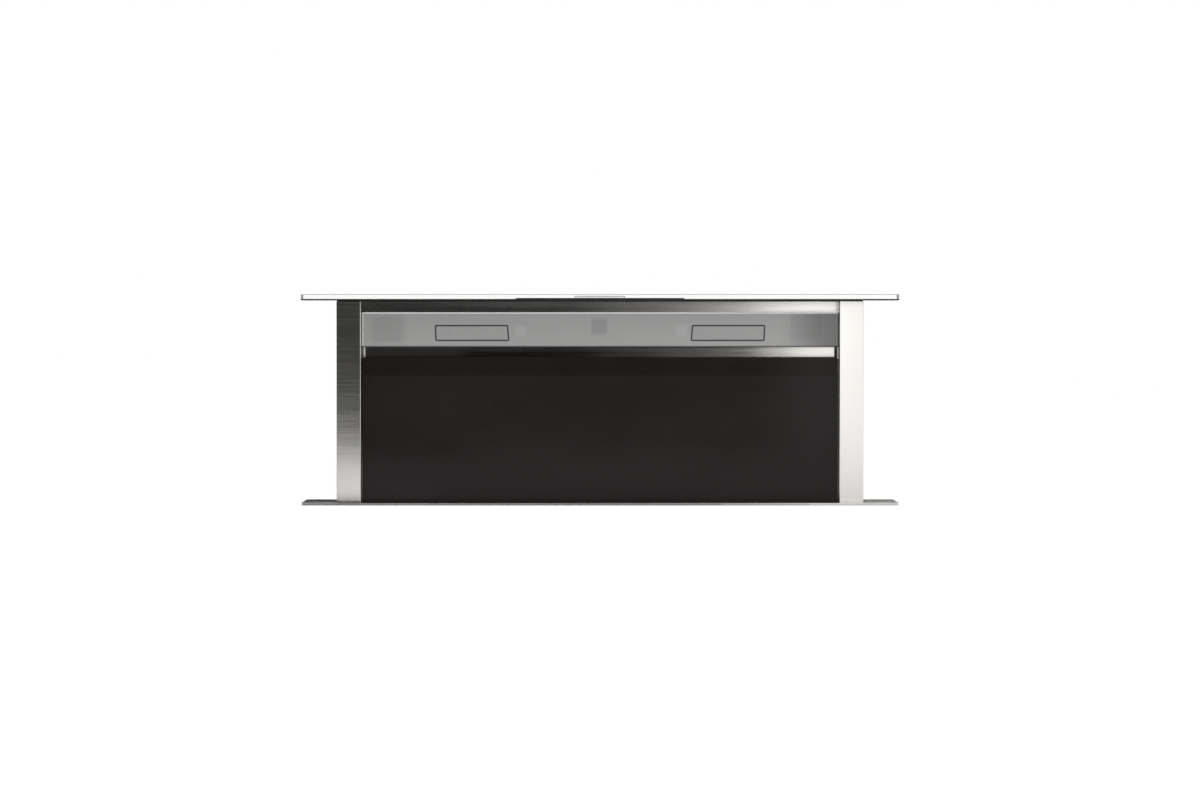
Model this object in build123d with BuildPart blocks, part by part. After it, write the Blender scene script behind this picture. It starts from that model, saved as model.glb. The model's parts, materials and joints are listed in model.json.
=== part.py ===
from build123d import *
import os

# Downdraft vent: a tower that rises out of the worktop behind a hob.
# The fixed body is the trim frame on the worktop with the cassette, lift drive and blower
# below it.  The tower carries cap, light bar, front glass and grease filters.
# Millimetres, X to the right, Y to the back, Z up.  The origin is the middle of the trim
# frame on the worktop's surface.  The tower is drawn raised.

# ---------------------------------------------------------------- driving dimensions
# cap and trim frame; the trim's width leads all other widths
cap_d = 120.0
cap_h = 9.0
cap_sheet = 1.5
cap_corner_r = 5.0
cap_edge_r = 1.0
trim_w = 880.0
trim_d = 120.0
trim_h = 4.0
trim_sheet = 1.5
trim_corner_r = 5.0
trim_edge_r = 0.6
collar_drop = 8.0
seal_inset = 0.5

# lift
travel = 297.5
parking_gap = 0.5

# tower
tower_side_gap = 24.0
tower_d = 61.0
tower_setback = 40.0
tower_gap = 3.0
foot_depth = 90.0
post_w = 36.0
post_sheet = 1.2
post_edge_r = 1.2
gasket_t = 1.5
gasket_inset = 1.0
rear_sheet = 1.2
rear_bend_r = 3.0
beam_setback = 43.0
beam_h = 45.5
foot_beam_setback = 0.6
foot_beam_d = 18.0
foot_beam_h = 30.0
foot_beam_sheet = 1.5

# light bar
bar_setback = 19.0
bar_d = 18.0
bar_h = 51.6
bar_gap = 15.9
bar_sheet = 1.0
bar_end_r = 3.0
bar_edge_r = 1.4
bar_side_gap = 0.3
lamp_end_top = 110.2
lamp_end_bottom = 111.0
lamp_w_top = 106.0
lamp_w_bottom = 107.2
lamp_h = 21.2
lamp_drop = 30.9
lamp_corner_r = 1.5
lamp_gap = 0.8
lens_t = 2.5
module_d = 10.0
module_margin = 4.0
bracket_z = 11.6
bracket_h = 25.0
bracket_sheet = 1.2
bracket_middle_w = 20.0
bracket_side_w = 45.0
bracket_side_inset = 49.0

# front glass and its hinge
glass_setback = 25.0
glass_t = 4.0
glass_side_gap = 0.8
glass_corner_r = 4.0
slot_h = 15.0
glass_below = 14.0
carrier_w = 18.0
carrier_t = 4.0
carrier_inset = 5.0
carrier_h = 217.0
carrier_lift = 2.0
hinge_pin_r = 1.8
hinge_pin_reach = 7.0
hinge_lift = 6.0

# grease filters and rails
filter_front_gap = 7.0
filter_t = 11.7
filter_border = 12.0
filter_mesh_t = 3.0
filter_clear = 0.3
rail_sheet = 1.2
rail_flange_h = 12.0
rail_top_drop = 4.8
rail_foot = 2.0
tab_w = 40.0
tab_h = 8.0
tab_d = 3.5

# controls in the cap
housing_d = 34.0
housing_clear = 0.3
notch_w = 248.0
notch_h = 3.4
window_w = 73.5
window_h = 2.9
window_clear = 0.3
base_sheet = 1.2
base_clear = 0.3
key_count = 4
key_pitch = 16.0
key_r = 5.5
key_flange_r = 6.5
key_flange_h = 1.2
key_h = 5.2
key_edge_r = 0.5
key_hole_clear = 0.3
key_setback = 16.0
housing_top_t = 2.2
housing_wall = 4.0
board_t = 1.2
board_clear = 2.0
dome_r = 3.0
dome_t = 0.3
cap_screw_r = 2.0
cap_screw_head_r = 3.5
cap_screw_inset = 30.0
cap_screw_y = 40.0
beam_screw_pitch = 200.0
beam_screw_reach = 2.0

# cassette under the worktop
trim_overhang = 26.0
cassette_d = 84.0
cassette_front_gap = 13.0
cassette_h = 440.0
cassette_sheet = 1.0
cutout_gap = 4.0
fix_leg = 24.0
fix_sheet = 2.0
fix_w = 60.0
fix_h = 50.0
fix_drop = 40.0
fix_hole_r = 2.5
fix_hole_reach = 13.0
fix_hole_pitch = 40.0
fix_screw_pitch = 20.0
screw_r = 2.0
screw_head_r = 3.6
screw_head_h = 2.4
screw_len = 6.0
cover_screw_inset = 6.0

# guides
rod_r = 6.0
rod_inset = 11.5
rod_y = 33.0
rod_top = 10.0
rod_bracket_h = 12.0
rod_bracket_w = 16.0
shoe_w = 18.0
shoe_h = 20.0
shoe_pitch = 40.0
shoe_foot = 2.0
shoe_wall = 3.5
running_fit = 0.05

# belt lift
pulley_r = 15.0
pulley_w = 11.0
pulley_flange_r = 17.0
pulley_flange_t = 1.0
belt_y = 0.0
belt_w = 10.0
belt_t = 1.5
idler_drop = 28.0
idler_axle_r = 4.0
idler_shoulder_r = 7.0
idler_clip_t = 1.2
side_play = 0.3
shaft_r = 5.0
shaft_lift = 25.0
bearing_r = 11.0
bearing_t = 5.0
bearing_play = 0.5
clamp_wall = 3.0
clamp_d = 8.5
clamp_h = 26.0
clamp_foot = 2.0
clamp_play = 0.3
gearbox_x = 115.0
gearbox_w = 50.0
gearbox_back = 20.0
gearbox_rise = 21.0
gearbox_edge_r = 5.0
motor_r = 21.0
motor_len = 90.0
motor_pilot_r = 11.0
motor_cap_r = 16.0
motor_cap_len = 8.0
switch_w = 12.0
switch_d = 9.0
switch_h = 20.0
switch_play = 1.5
switch_top_drop = 40.0
switch_low_rise = 60.0
plunger_r = 1.2
plunger_len = 0.8

# blower
box_w = 340.0
box_h = 293.0
box_above_motor = 6.0
wheel_inset = 145.0
wheel_rise = 158.0
box_d = 160.0
box_sheet = 1.0
wheel_r = 100.0
wheel_w = 90.0
wheel_inner_r = 84.0
wheel_play = 21.0
wheel_ring_t = 3.0
blade_count = 36
blade_len = 16.0
blade_t = 1.0
blade_mid_r = 92.0
blade_turn = 35.0
hub_r = 12.0
hub_len = 22.0
spiral_r = 115.0
spiral_step = 13.0
scroll_sheet = 1.0
inlet_r = 92.0
inlet_flange_r = 100.0
inlet_throat_r = 84.0
inlet_depth = 15.0
inlet_sheet = 1.0
fan_motor_r = 52.0
fan_motor_len = 40.0
fan_motor_edge_r = 6.5
fan_shaft_r = 4.0
fan_shaft_len = 32.0
fan_bracket_r = 62.0
fan_bracket_t = 4.0
fan_bracket_hole_r = 8.0
fan_bracket_hole_ring = 40.0

# outlet
duct_r = 75.0
duct_wall = 1.5
duct_len = 80.0
duct_rise = 88.0
duct_flange_r = 79.0
duct_flange_t = 2.0
flap_rod_r = 1.5
flap_rod_x = 9.0
flap_t = 1.2
flap_edge_gap = 0.7
flap_knuckle_r = 2.8
flap_root = 3.2
flap_offset = 1.4
front_knuckle_in = 30.0
front_knuckle_out = 60.0
knuckle_gap = 2.0

# control box
control_inset = 14.0
control_gap = 25.0
control_w = 210.0
control_h = 120.0
control_d = 50.0
control_top = -110.0
control_sheet = 1.0
lid_t = 1.2
gland_r = 10.0
gland_bore_r = 4.0
gland_hex_r = 13.0
gland_hex_h = 9.0
gland_dome_r = 11.0
gland_dome_h = 8.0
gland_dome_edge_r = 3.6
gland_inner_h = 4.0

# ---------------------------------------------------------------- derived places
cap_w = trim_w
cassette_w = trim_w - 2 * trim_overhang
tower_w = cassette_w - 2 * tower_side_gap

trim_plate_z = trim_h - trim_sheet
cap_z = trim_h + parking_gap + travel
cap_top = cap_z + cap_h
cap_inner_top = cap_top - cap_sheet
cap_front = -cap_d / 2
tower_front = cap_front + tower_setback
tower_back = tower_front + tower_d
tower_mid = (tower_front + tower_back) / 2
tower_top = cap_z - gasket_t
foot_z = -foot_depth
post_outer = tower_w / 2
post_inner = post_outer - post_w
opening_w = tower_w + 2 * tower_gap
opening_d = tower_d + 2 * tower_gap
rear_inner = tower_back - rear_sheet

bar_front = tower_front + bar_setback
bar_back = bar_front + bar_d
bar_top = tower_top - bar_gap
bar_bottom = bar_top - bar_h
bar_inner = bar_front + bar_sheet
beam_front = tower_front + beam_setback
flange_front = bar_back
glass_front = tower_front + glass_setback
glass_back = glass_front + glass_t
glass_top = bar_bottom - slot_h
glass_bottom = -glass_below
glass_half = post_inner - glass_side_gap
carrier_outer = post_inner - carrier_inset
carrier_back = glass_back + carrier_t
hinge_y = glass_back + carrier_t / 2
hinge_z = glass_bottom + hinge_lift

filter_front = glass_back + filter_front_gap
filter_back = filter_front + filter_t
rail_flange_y = filter_back + filter_clear
rail_half = post_inner - rear_sheet
flat_half = rail_half - rear_bend_r
rail_top_z = glass_top - rail_top_drop
rail_seat_z = -rail_foot
filter_top = rail_top_z - rail_sheet - filter_clear
filter_bottom = rail_seat_z + filter_clear

bracket_side_x = post_inner - bracket_side_inset
lamp_outer_top = post_inner - lamp_end_top
lamp_inner_top = lamp_outer_top - lamp_w_top
lamp_outer_bottom = post_inner - lamp_end_bottom
lamp_inner_bottom = lamp_outer_bottom - lamp_w_bottom

cap_screw_x = cap_w / 2 - cap_screw_inset
housing_w = notch_w - 2 * housing_clear
lip_inner = cap_front + cap_sheet
base_top = cap_z + base_sheet
housing_front = lip_inner + window_clear / 2
housing_back = housing_front + housing_d
key_y = cap_front + key_setback
key_bottom = cap_top - key_h
housing_ceiling = cap_inner_top - housing_top_t
notch_top = cap_z + notch_h

cassette_half = cassette_w / 2
cassette_inner = cassette_half - cassette_sheet
cassette_front = tower_front - cassette_front_gap - cassette_sheet
cassette_back = cassette_front + cassette_d
cassette_bottom = -cassette_h
cassette_floor = cassette_bottom + cassette_sheet
front_inner = cassette_front + cassette_sheet
back_inner = cassette_back - cassette_sheet

fix_hole_x = cassette_half + fix_hole_reach
rod_x = cassette_inner - rod_inset
shoe_outer = rod_x + rod_r + shoe_wall
pulley_x = cassette_inner - bearing_t - bearing_play - pulley_flange_t - pulley_w / 2
clamp_outer = pulley_x + belt_w / 2 + clamp_wall
idler_z = -idler_drop
shaft_z = cassette_bottom + shaft_lift
pulley_inner = pulley_x - pulley_w / 2 - pulley_flange_t
pulley_outer = pulley_x + pulley_w / 2 + pulley_flange_t
belt_inner_r = pulley_r + running_fit
belt_outer_r = belt_inner_r + belt_t
clamp_front = belt_y - belt_outer_r - (clamp_d - belt_t) / 2
clamp_back = clamp_front + clamp_d

control_left = control_inset - cassette_half
control_right = control_left + control_w
box_left = control_right + control_gap
box_right = box_left + box_w
box_bottom = shaft_z + motor_r + box_above_motor
box_top = box_bottom + box_h
blower_x = box_left + wheel_inset
blower_z = box_bottom + wheel_rise
duct_z = box_bottom + duct_rise
box_back = cassette_front
box_front = box_back - box_d
box_wall = box_back - box_sheet
wheel_back = box_wall - wheel_play
wheel_front = wheel_back - wheel_w
fan_bracket_y = box_front + fan_bracket_t
fan_motor_y = fan_bracket_y + fan_motor_len
duct_y = (box_front + box_back) / 2
duct_inner_r = duct_r - duct_wall
flap_x = box_right + flap_rod_x
flap_r = duct_inner_r - flap_edge_gap
flap_rod_half = (duct_inner_r**2 - flap_rod_r**2) ** 0.5

control_front = cassette_front - control_d
control_bottom = control_top - control_h
gland_x = control_left + control_w / 2
gland_y = cassette_front - control_d / 2


# ---------------------------------------------------------------- helpers
def level(z):
    """Horizontal plane at height z; extrusions run up."""
    return Plane.XY.offset(z)


def upright(y):
    """Plane at depth y seen from the front; extrusions run toward the front."""
    return Plane.XZ.offset(-y)


def sideways(x):
    """Plane at x seen from the right; extrusions run to the right."""
    return Plane.YZ.offset(x)


def block(x, y, z, mode=Mode.ADD):
    """Box between the two limits given on each axis."""
    middle = ((x[0] + x[1]) / 2, (y[0] + y[1]) / 2, (z[0] + z[1]) / 2)
    with Locations(middle):
        Box(abs(x[1] - x[0]), abs(y[1] - y[0]), abs(z[1] - z[0]), mode=mode)


def rod(middle, length, radius, turn, mode):
    """Round bar about a middle point, turned from Z by the given angles."""
    with Locations(middle):
        Cylinder(radius, abs(length), rotation=turn, mode=mode)


def rod_along_x(x, y, z, radius, mode=Mode.ADD):
    """Round bar along X from x[0] to x[1]."""
    rod(((x[0] + x[1]) / 2, y, z), x[1] - x[0], radius, (0, 90, 0), mode)


def rod_along_y(x, y, z, radius, mode=Mode.ADD):
    """Round bar along Y from y[0] to y[1]."""
    rod((x, (y[0] + y[1]) / 2, z), y[1] - y[0], radius, (90, 0, 0), mode)


def rod_along_z(x, y, z, radius, mode=Mode.ADD):
    """Round bar along Z from z[0] to z[1]."""
    rod((x, y, (z[0] + z[1]) / 2), z[1] - z[0], radius, (0, 0, 0), mode)


def save(piece, name):
    """Label one finished piece and write its file."""
    piece.part.label = name
    export_step(piece.part, f"parts/{name}.step")


os.makedirs("parts", exist_ok=True)
SIDES = (-1, 1)

# ================================================================ fixed body: trim
with BuildPart() as trim_frame:
    with BuildSketch(level(0)):
        RectangleRounded(trim_w, trim_d, trim_corner_r)
    extrude(amount=trim_h)
    fillet(trim_frame.faces().sort_by(Axis.Z)[-1].edges(), trim_edge_r)
    with BuildSketch(level(0)):
        RectangleRounded(trim_w - 2 * trim_sheet, trim_d - 2 * trim_sheet, trim_corner_r - trim_sheet)
    extrude(amount=trim_plate_z, mode=Mode.SUBTRACT)
    with BuildSketch(level(-collar_drop)):
        with Locations((0, tower_mid)):
            Rectangle(opening_w + 2 * trim_sheet, opening_d + 2 * trim_sheet)
    extrude(amount=collar_drop + trim_plate_z)
    with BuildSketch(level(-collar_drop)):
        with Locations((0, tower_mid)):
            Rectangle(opening_w, opening_d)
    extrude(amount=collar_drop + trim_h, mode=Mode.SUBTRACT)
save(trim_frame, "trim_frame")

cutout_w = cassette_w + 2 * cutout_gap
cutout_d = cassette_d + 2 * cutout_gap
with BuildPart() as trim_seal:
    with BuildSketch(level(0)):
        Rectangle(trim_w - 2 * (trim_sheet + seal_inset), trim_d - 2 * (trim_sheet + seal_inset))
        with Locations((0, (cassette_front + cassette_back) / 2)):
            Rectangle(cutout_w + 2 * seal_inset, cutout_d + 2 * seal_inset, mode=Mode.SUBTRACT)
    extrude(amount=trim_plate_z)
    fillet(trim_seal.edges().filter_by(Axis.Z), trim_corner_r - trim_sheet - seal_inset)
save(trim_seal, "trim_seal")

# ================================================================ fixed body: cassette
with BuildPart() as cassette_front_panel:
    block((-cassette_inner, cassette_inner), (cassette_front, front_inner), (cassette_bottom, trim_plate_z))
    rod_along_y(blower_x, (cassette_front, front_inner), blower_z, inlet_r, mode=Mode.SUBTRACT)
    rod_along_y(gearbox_x, (cassette_front, front_inner), shaft_z, motor_pilot_r, mode=Mode.SUBTRACT)
save(cassette_front_panel, "cassette_front_panel")

with BuildPart() as cassette_rear_panel:
    block((-cassette_inner, cassette_inner), (back_inner, cassette_back), (cassette_bottom, trim_plate_z))
save(cassette_rear_panel, "cassette_rear_panel")

fix_mid = tower_mid
fix_screw_z = -fix_drop - fix_h / 2
fix_screw_y = (fix_mid - fix_screw_pitch / 2, fix_mid + fix_screw_pitch / 2)
with BuildPart() as cassette_side_panels:
    for side in SIDES:
        panel_x = (side * cassette_inner, side * cassette_half)
        block(panel_x, (cassette_front, cassette_back), (cassette_bottom, trim_plate_z))
        for screw_y in fix_screw_y:
            rod_along_x(panel_x, screw_y, fix_screw_z, screw_r, mode=Mode.SUBTRACT)
save(cassette_side_panels, "cassette_side_panels")

with BuildPart() as cassette_bottom_panel:
    floor_x = (-cassette_inner, cassette_inner)
    block(floor_x, (front_inner, back_inner), (cassette_bottom, cassette_floor))
save(cassette_bottom_panel, "cassette_bottom_panel")

with BuildPart() as fixing_brackets:
    for side in SIDES:
        leg_x = (side * cassette_half, side * (cassette_half + fix_sheet))
        top_x = (side * cassette_half, side * (cassette_half + fix_leg))
        leg_y = (fix_mid - fix_w / 2, fix_mid + fix_w / 2)
        block(leg_x, leg_y, (-fix_drop - fix_h, -fix_drop))
        block(top_x, leg_y, (-fix_drop - fix_sheet, -fix_drop))
        for screw_y in fix_screw_y:
            rod_along_x(leg_x, screw_y, fix_screw_z, screw_r, mode=Mode.SUBTRACT)
        for hole_y in (fix_mid - fix_hole_pitch / 2, fix_mid + fix_hole_pitch / 2):
            hole_z = (-fix_drop - fix_sheet, -fix_drop)
            rod_along_z(side * fix_hole_x, hole_y, hole_z, fix_hole_r, mode=Mode.SUBTRACT)
save(fixing_brackets, "fixing_brackets")

# ================================================================ fixed body: guides and lift
rod_low = cassette_floor
with BuildPart() as guide_rods:
    for side in SIDES:
        rod_along_z(side * rod_x, rod_y, (rod_low, -rod_top), rod_r)
save(guide_rods, "guide_rods")

with BuildPart() as rod_brackets:
    for side in SIDES:
        for low in (rod_low, -rod_top - rod_bracket_h):
            held_z = (low, low + rod_bracket_h)
            held_x = (side * (rod_x - rod_bracket_w / 2), side * cassette_inner)
            block(held_x, (rod_y - rod_bracket_w / 2, rod_y + rod_bracket_w / 2), held_z)
            rod_along_z(side * rod_x, rod_y, held_z, rod_r, mode=Mode.SUBTRACT)
save(rod_brackets, "rod_brackets")

with BuildPart() as lift_belts:
    loop_mid = (idler_z + shaft_z) / 2
    loop_length = idler_z - shaft_z
    for side in SIDES:
        with BuildSketch(sideways(side * pulley_x - belt_w / 2)):
            with Locations((belt_y, loop_mid)):
                SlotCenterToCenter(loop_length, 2 * belt_outer_r, rotation=90)
                SlotCenterToCenter(loop_length, 2 * belt_inner_r, rotation=90, mode=Mode.SUBTRACT)
        extrude(amount=belt_w)
save(lift_belts, "lift_belts")

with BuildPart() as idler_axles:
    for side in SIDES:
        inner_end = pulley_inner - side_play - idler_clip_t
        rod_along_x((side * inner_end, side * cassette_inner), belt_y, idler_z, idler_axle_r)
        clip_x = (side * inner_end, side * (pulley_inner - side_play))
        rod_along_x(clip_x, belt_y, idler_z, idler_shoulder_r)
        shoulder_x = (side * (pulley_outer + side_play), side * cassette_inner)
        rod_along_x(shoulder_x, belt_y, idler_z, idler_shoulder_r)
save(idler_axles, "idler_axles")

with BuildPart() as shaft_bearings:
    for side in SIDES:
        bearing_x = (side * (cassette_inner - bearing_t), side * cassette_inner)
        rod_along_x(bearing_x, belt_y, shaft_z, bearing_r)
        rod_along_x(bearing_x, belt_y, shaft_z, shaft_r + running_fit, mode=Mode.SUBTRACT)
save(shaft_bearings, "shaft_bearings")

with BuildPart() as lift_gearbox:
    gear_x = (gearbox_x - gearbox_w / 2, gearbox_x + gearbox_w / 2)
    block(gear_x, (front_inner, belt_y + gearbox_back), (cassette_floor, shaft_z + gearbox_rise))
    fillet(lift_gearbox.edges().filter_by(Axis.X).group_by(Axis.Z)[-1], gearbox_edge_r)
    rod_along_x(gear_x, belt_y, shaft_z, shaft_r + running_fit, mode=Mode.SUBTRACT)
save(lift_gearbox, "lift_gearbox")

with BuildPart() as lift_motor:
    motor_end = cassette_front - motor_len
    rod_along_y(gearbox_x, (cassette_front, front_inner), shaft_z, motor_pilot_r)
    rod_along_y(gearbox_x, (motor_end, cassette_front), shaft_z, motor_r)
    rod_along_y(gearbox_x, (motor_end - motor_cap_len, motor_end), shaft_z, motor_cap_r)
save(lift_motor, "lift_motor")

with BuildPart() as limit_switches:
    switch_back = clamp_front - switch_play
    switch_x = (cassette_inner - switch_w, cassette_inner)
    for low in (-switch_top_drop - switch_h, cassette_bottom + switch_low_rise):
        block(switch_x, (switch_back - switch_d, switch_back), (low, low + switch_h))
        plunger_y = (switch_back, switch_back + plunger_len)
        rod_along_y(cassette_inner - switch_w / 2, plunger_y, low + switch_h / 2, plunger_r)
save(limit_switches, "limit_switches")

# ================================================================ fixed body: blower
with BuildPart() as blower_box:
    block((box_left, box_right), (box_front, box_back), (box_bottom, box_top))
    inner_x = (box_left + box_sheet, box_right - box_sheet)
    inner_z = (box_bottom + box_sheet, box_top - box_sheet)
    block(inner_x, (box_front, box_wall), inner_z, mode=Mode.SUBTRACT)
    rod_along_y(blower_x, (box_wall, box_back), blower_z, inlet_r, mode=Mode.SUBTRACT)
    outlet_wall = (box_right - box_sheet, box_right)
    rod_along_x(outlet_wall, duct_y, duct_z, duct_inner_r, mode=Mode.SUBTRACT)
save(blower_box, "blower_box")

cover_screw_x = (box_left + cover_screw_inset, box_right - cover_screw_inset)
cover_screw_z = (box_bottom + cover_screw_inset, box_top - cover_screw_inset)
cover_front = box_front - box_sheet
with BuildPart() as blower_cover:
    block((box_left, box_right), (cover_front, box_front), (box_bottom, box_top))
    for x in cover_screw_x:
        for z in cover_screw_z:
            rod_along_y(x, (cover_front, box_front), z, screw_r, mode=Mode.SUBTRACT)
save(blower_cover, "blower_cover")

# The scroll is a spiral of three quarter arcs whose centres step round a small square.
half_step = spiral_step / 2
scroll_right = box_right - box_sheet
tongue = (blower_x - half_step + spiral_r, blower_z + half_step)
floor_r = spiral_r + 2 * spiral_step
floor_point = (blower_x + half_step, blower_z - half_step - floor_r)
with BuildPart() as blower_scroll:
    with BuildSketch(upright(box_wall)):
        with BuildLine():
            CenterArc((blower_x - half_step, blower_z + half_step), spiral_r, 0, 90)
            CenterArc((blower_x - half_step, blower_z - half_step), spiral_r + spiral_step, 90, 90)
            CenterArc((blower_x + half_step, blower_z - half_step), floor_r, 180, 90)
            Line(floor_point, (scroll_right, floor_point[1]))
            Line((scroll_right, floor_point[1]), (scroll_right, tongue[1]))
            Line((scroll_right, tongue[1]), tongue)
        make_face()
        offset(amount=-scroll_sheet, mode=Mode.SUBTRACT)
    extrude(amount=box_wall - box_front)
    open_z = (floor_point[1] + scroll_sheet, tongue[1] - scroll_sheet)
    open_x = (scroll_right - scroll_sheet, scroll_right)
    block(open_x, (box_front, box_wall), open_z, mode=Mode.SUBTRACT)
save(blower_scroll, "blower_scroll")

throat_end = box_wall - inlet_depth
flange_x = blower_x + inlet_flange_r
mouth_x = blower_x + inlet_r
throat_x = blower_x + inlet_throat_r
ring_back = box_wall - inlet_sheet
with BuildPart() as inlet_ring:
    with BuildSketch(level(blower_z)):
        with BuildLine():
            Polyline((mouth_x, ring_back), (flange_x, ring_back), (flange_x, box_wall), (mouth_x, box_wall))
            Spline((mouth_x, box_wall), (throat_x, throat_end), tangents=((-1, 0), (0, -1)))
            Line((throat_x, throat_end), (throat_x + inlet_sheet, throat_end))
            Spline((throat_x + inlet_sheet, throat_end), (mouth_x, ring_back), tangents=((0, 1), (1, 0)))
        make_face()
    revolve(axis=Axis((blower_x, 0, blower_z), (0, 1, 0)))
save(inlet_ring, "inlet_ring")

with BuildPart() as motor_bracket:
    rod_along_y(blower_x, (box_front, fan_bracket_y), blower_z, fan_bracket_r)
    with BuildSketch(upright(fan_bracket_y)):
        with Locations((blower_x, blower_z)):
            with PolarLocations(fan_bracket_hole_ring, 4, start_angle=45):
                Circle(fan_bracket_hole_r)
    extrude(amount=fan_bracket_t, mode=Mode.SUBTRACT)
save(motor_bracket, "motor_bracket")

with BuildPart() as blower_motor:
    rod_along_y(blower_x, (fan_bracket_y, fan_motor_y), blower_z, fan_motor_r)
    fillet(blower_motor.faces().sort_by(Axis.Y)[-1].edges(), fan_motor_edge_r)
    rod_along_y(blower_x, (fan_motor_y, fan_motor_y + fan_shaft_len), blower_z, fan_shaft_r)
save(blower_motor, "blower_motor")

with BuildPart() as outlet_collar:
    rod_along_x((box_right, box_right + duct_flange_t), duct_y, duct_z, duct_flange_r)
    rod_along_x((box_right, box_right + duct_len), duct_y, duct_z, duct_r)
    rod_along_x((box_right, box_right + duct_len), duct_y, duct_z, duct_inner_r, mode=Mode.SUBTRACT)
save(outlet_collar, "outlet_collar")

with BuildPart() as flap_rod:
    rod_along_z(flap_x, duct_y, (duct_z - flap_rod_half, duct_z + flap_rod_half), flap_rod_r)
save(flap_rod, "flap_rod")

# ================================================================ fixed body: control box
with BuildPart() as control_box:
    block((control_left, control_right), (control_front, cassette_front), (control_bottom, control_top))
    hollow_x = (control_left + control_sheet, control_right - control_sheet)
    hollow_z = (control_bottom + control_sheet, control_top - control_sheet)
    block(hollow_x, (control_front, cassette_front - control_sheet), hollow_z, mode=Mode.SUBTRACT)
    gland_wall = (control_bottom, control_bottom + control_sheet)
    rod_along_z(gland_x, gland_y, gland_wall, gland_r, mode=Mode.SUBTRACT)
save(control_box, "control_box")

lid_front = control_front - lid_t
lid_screw_x = (control_left + cover_screw_inset, control_right - cover_screw_inset)
lid_screw_z = (control_bottom + cover_screw_inset, control_top - cover_screw_inset)
with BuildPart() as control_box_lid:
    block((control_left, control_right), (lid_front, control_front), (control_bottom, control_top))
    for x in lid_screw_x:
        for z in lid_screw_z:
            rod_along_y(x, (lid_front, control_front), z, screw_r, mode=Mode.SUBTRACT)
save(control_box_lid, "control_box_lid")

with BuildPart() as mains_gland:
    gland_top = control_bottom + control_sheet + gland_inner_h
    hex_bottom = control_bottom - gland_hex_h
    dome_bottom = hex_bottom - gland_dome_h
    rod_along_z(gland_x, gland_y, (control_bottom, gland_top), gland_r)
    with BuildSketch(level(hex_bottom)):
        with Locations((gland_x, gland_y)):
            RegularPolygon(gland_hex_r, 6)
    extrude(amount=gland_hex_h)
    rod_along_z(gland_x, gland_y, (dome_bottom, hex_bottom), gland_dome_r)
    fillet(mains_gland.faces().sort_by(Axis.Z)[0].edges(), gland_dome_edge_r)
    rod_along_z(gland_x, gland_y, (dome_bottom, gland_top), gland_bore_r, mode=Mode.SUBTRACT)
save(mains_gland, "mains_gland")

with BuildPart() as cassette_screws:
    for x in cover_screw_x:
        for z in cover_screw_z:
            rod_along_y(x, (cover_front, cover_front + screw_len), z, screw_r)
            rod_along_y(x, (cover_front - screw_head_h, cover_front), z, screw_head_r)
    for x in lid_screw_x:
        for z in lid_screw_z:
            rod_along_y(x, (lid_front, lid_front + screw_len), z, screw_r)
            rod_along_y(x, (lid_front - screw_head_h, lid_front), z, screw_head_r)
    for side in SIDES:
        seat = cassette_half + fix_sheet
        for screw_y in fix_screw_y:
            rod_along_x((side * (seat - screw_len), side * seat), screw_y, fix_screw_z, screw_r)
            rod_along_x((side * seat, side * (seat + screw_head_h)), screw_y, fix_screw_z, screw_head_r)
save(cassette_screws, "cassette_screws")

# ================================================================ tower: structure
for side, name in ((-1, "left_post"), (1, "right_post")):
    with BuildPart() as post:
        block((side * post_inner, side * post_outer), (tower_front, tower_back), (foot_z, tower_top))
        fillet(post.edges().filter_by(Axis.Z), post_edge_r)
        hollow = (side * (post_inner + post_sheet), side * (post_outer - post_sheet))
        hollow_y = (tower_front + post_sheet, tower_back - post_sheet)
        block(hollow, hollow_y, (foot_z, tower_top), mode=Mode.SUBTRACT)
        hinge_wall = (side * post_inner, side * (post_inner + post_sheet))
        rod_along_x(hinge_wall, hinge_y, hinge_z, hinge_pin_r + running_fit, mode=Mode.SUBTRACT)
    save(post, name)

with BuildPart() as rear_panel:
    block((-post_inner, post_inner), (flange_front, tower_back), (foot_z, tower_top))
    fillet(rear_panel.edges().filter_by(Axis.Z).group_by(Axis.Y)[-1], rear_bend_r + rear_sheet)
    with BuildSketch(level(foot_z)):
        with Locations((0, (flange_front + rear_inner) / 2)):
            Rectangle(2 * rail_half, rear_inner - flange_front)
        fillet(vertices().group_by(Axis.Y)[-1], rear_bend_r)
    extrude(amount=tower_top - foot_z, mode=Mode.SUBTRACT)
save(rear_panel, "rear_panel")

beam_screw_y = (beam_front + rear_inner) / 2
beam_screw_x = [beam_screw_pitch * step for step in (-1.5, -0.5, 0.5, 1.5)]
with BuildPart() as head_beam:
    block((-rail_half, rail_half), (beam_front, beam_front + rear_sheet), (tower_top - beam_h, tower_top))
    block((-flat_half, flat_half), (beam_front, rear_inner), (tower_top - rear_sheet, tower_top))
    for x in beam_screw_x:
        rod_along_z(x, beam_screw_y, (tower_top - rear_sheet, tower_top), screw_r, mode=Mode.SUBTRACT)
save(head_beam, "head_beam")

foot_front = tower_front + foot_beam_setback
with BuildPart() as foot_beam:
    foot_y = (foot_front, foot_front + foot_beam_d)
    foot_top = foot_z + foot_beam_h
    block((-post_inner, post_inner), foot_y, (foot_z, foot_top))
    inside_y = (foot_front + foot_beam_sheet, foot_front + foot_beam_d)
    inside_z = (foot_z + foot_beam_sheet, foot_top - foot_beam_sheet)
    block((-post_inner, post_inner), inside_y, inside_z, mode=Mode.SUBTRACT)
save(foot_beam, "foot_beam")

# ================================================================ tower: light bar
lamp_mid = bar_top - lamp_drop


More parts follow.
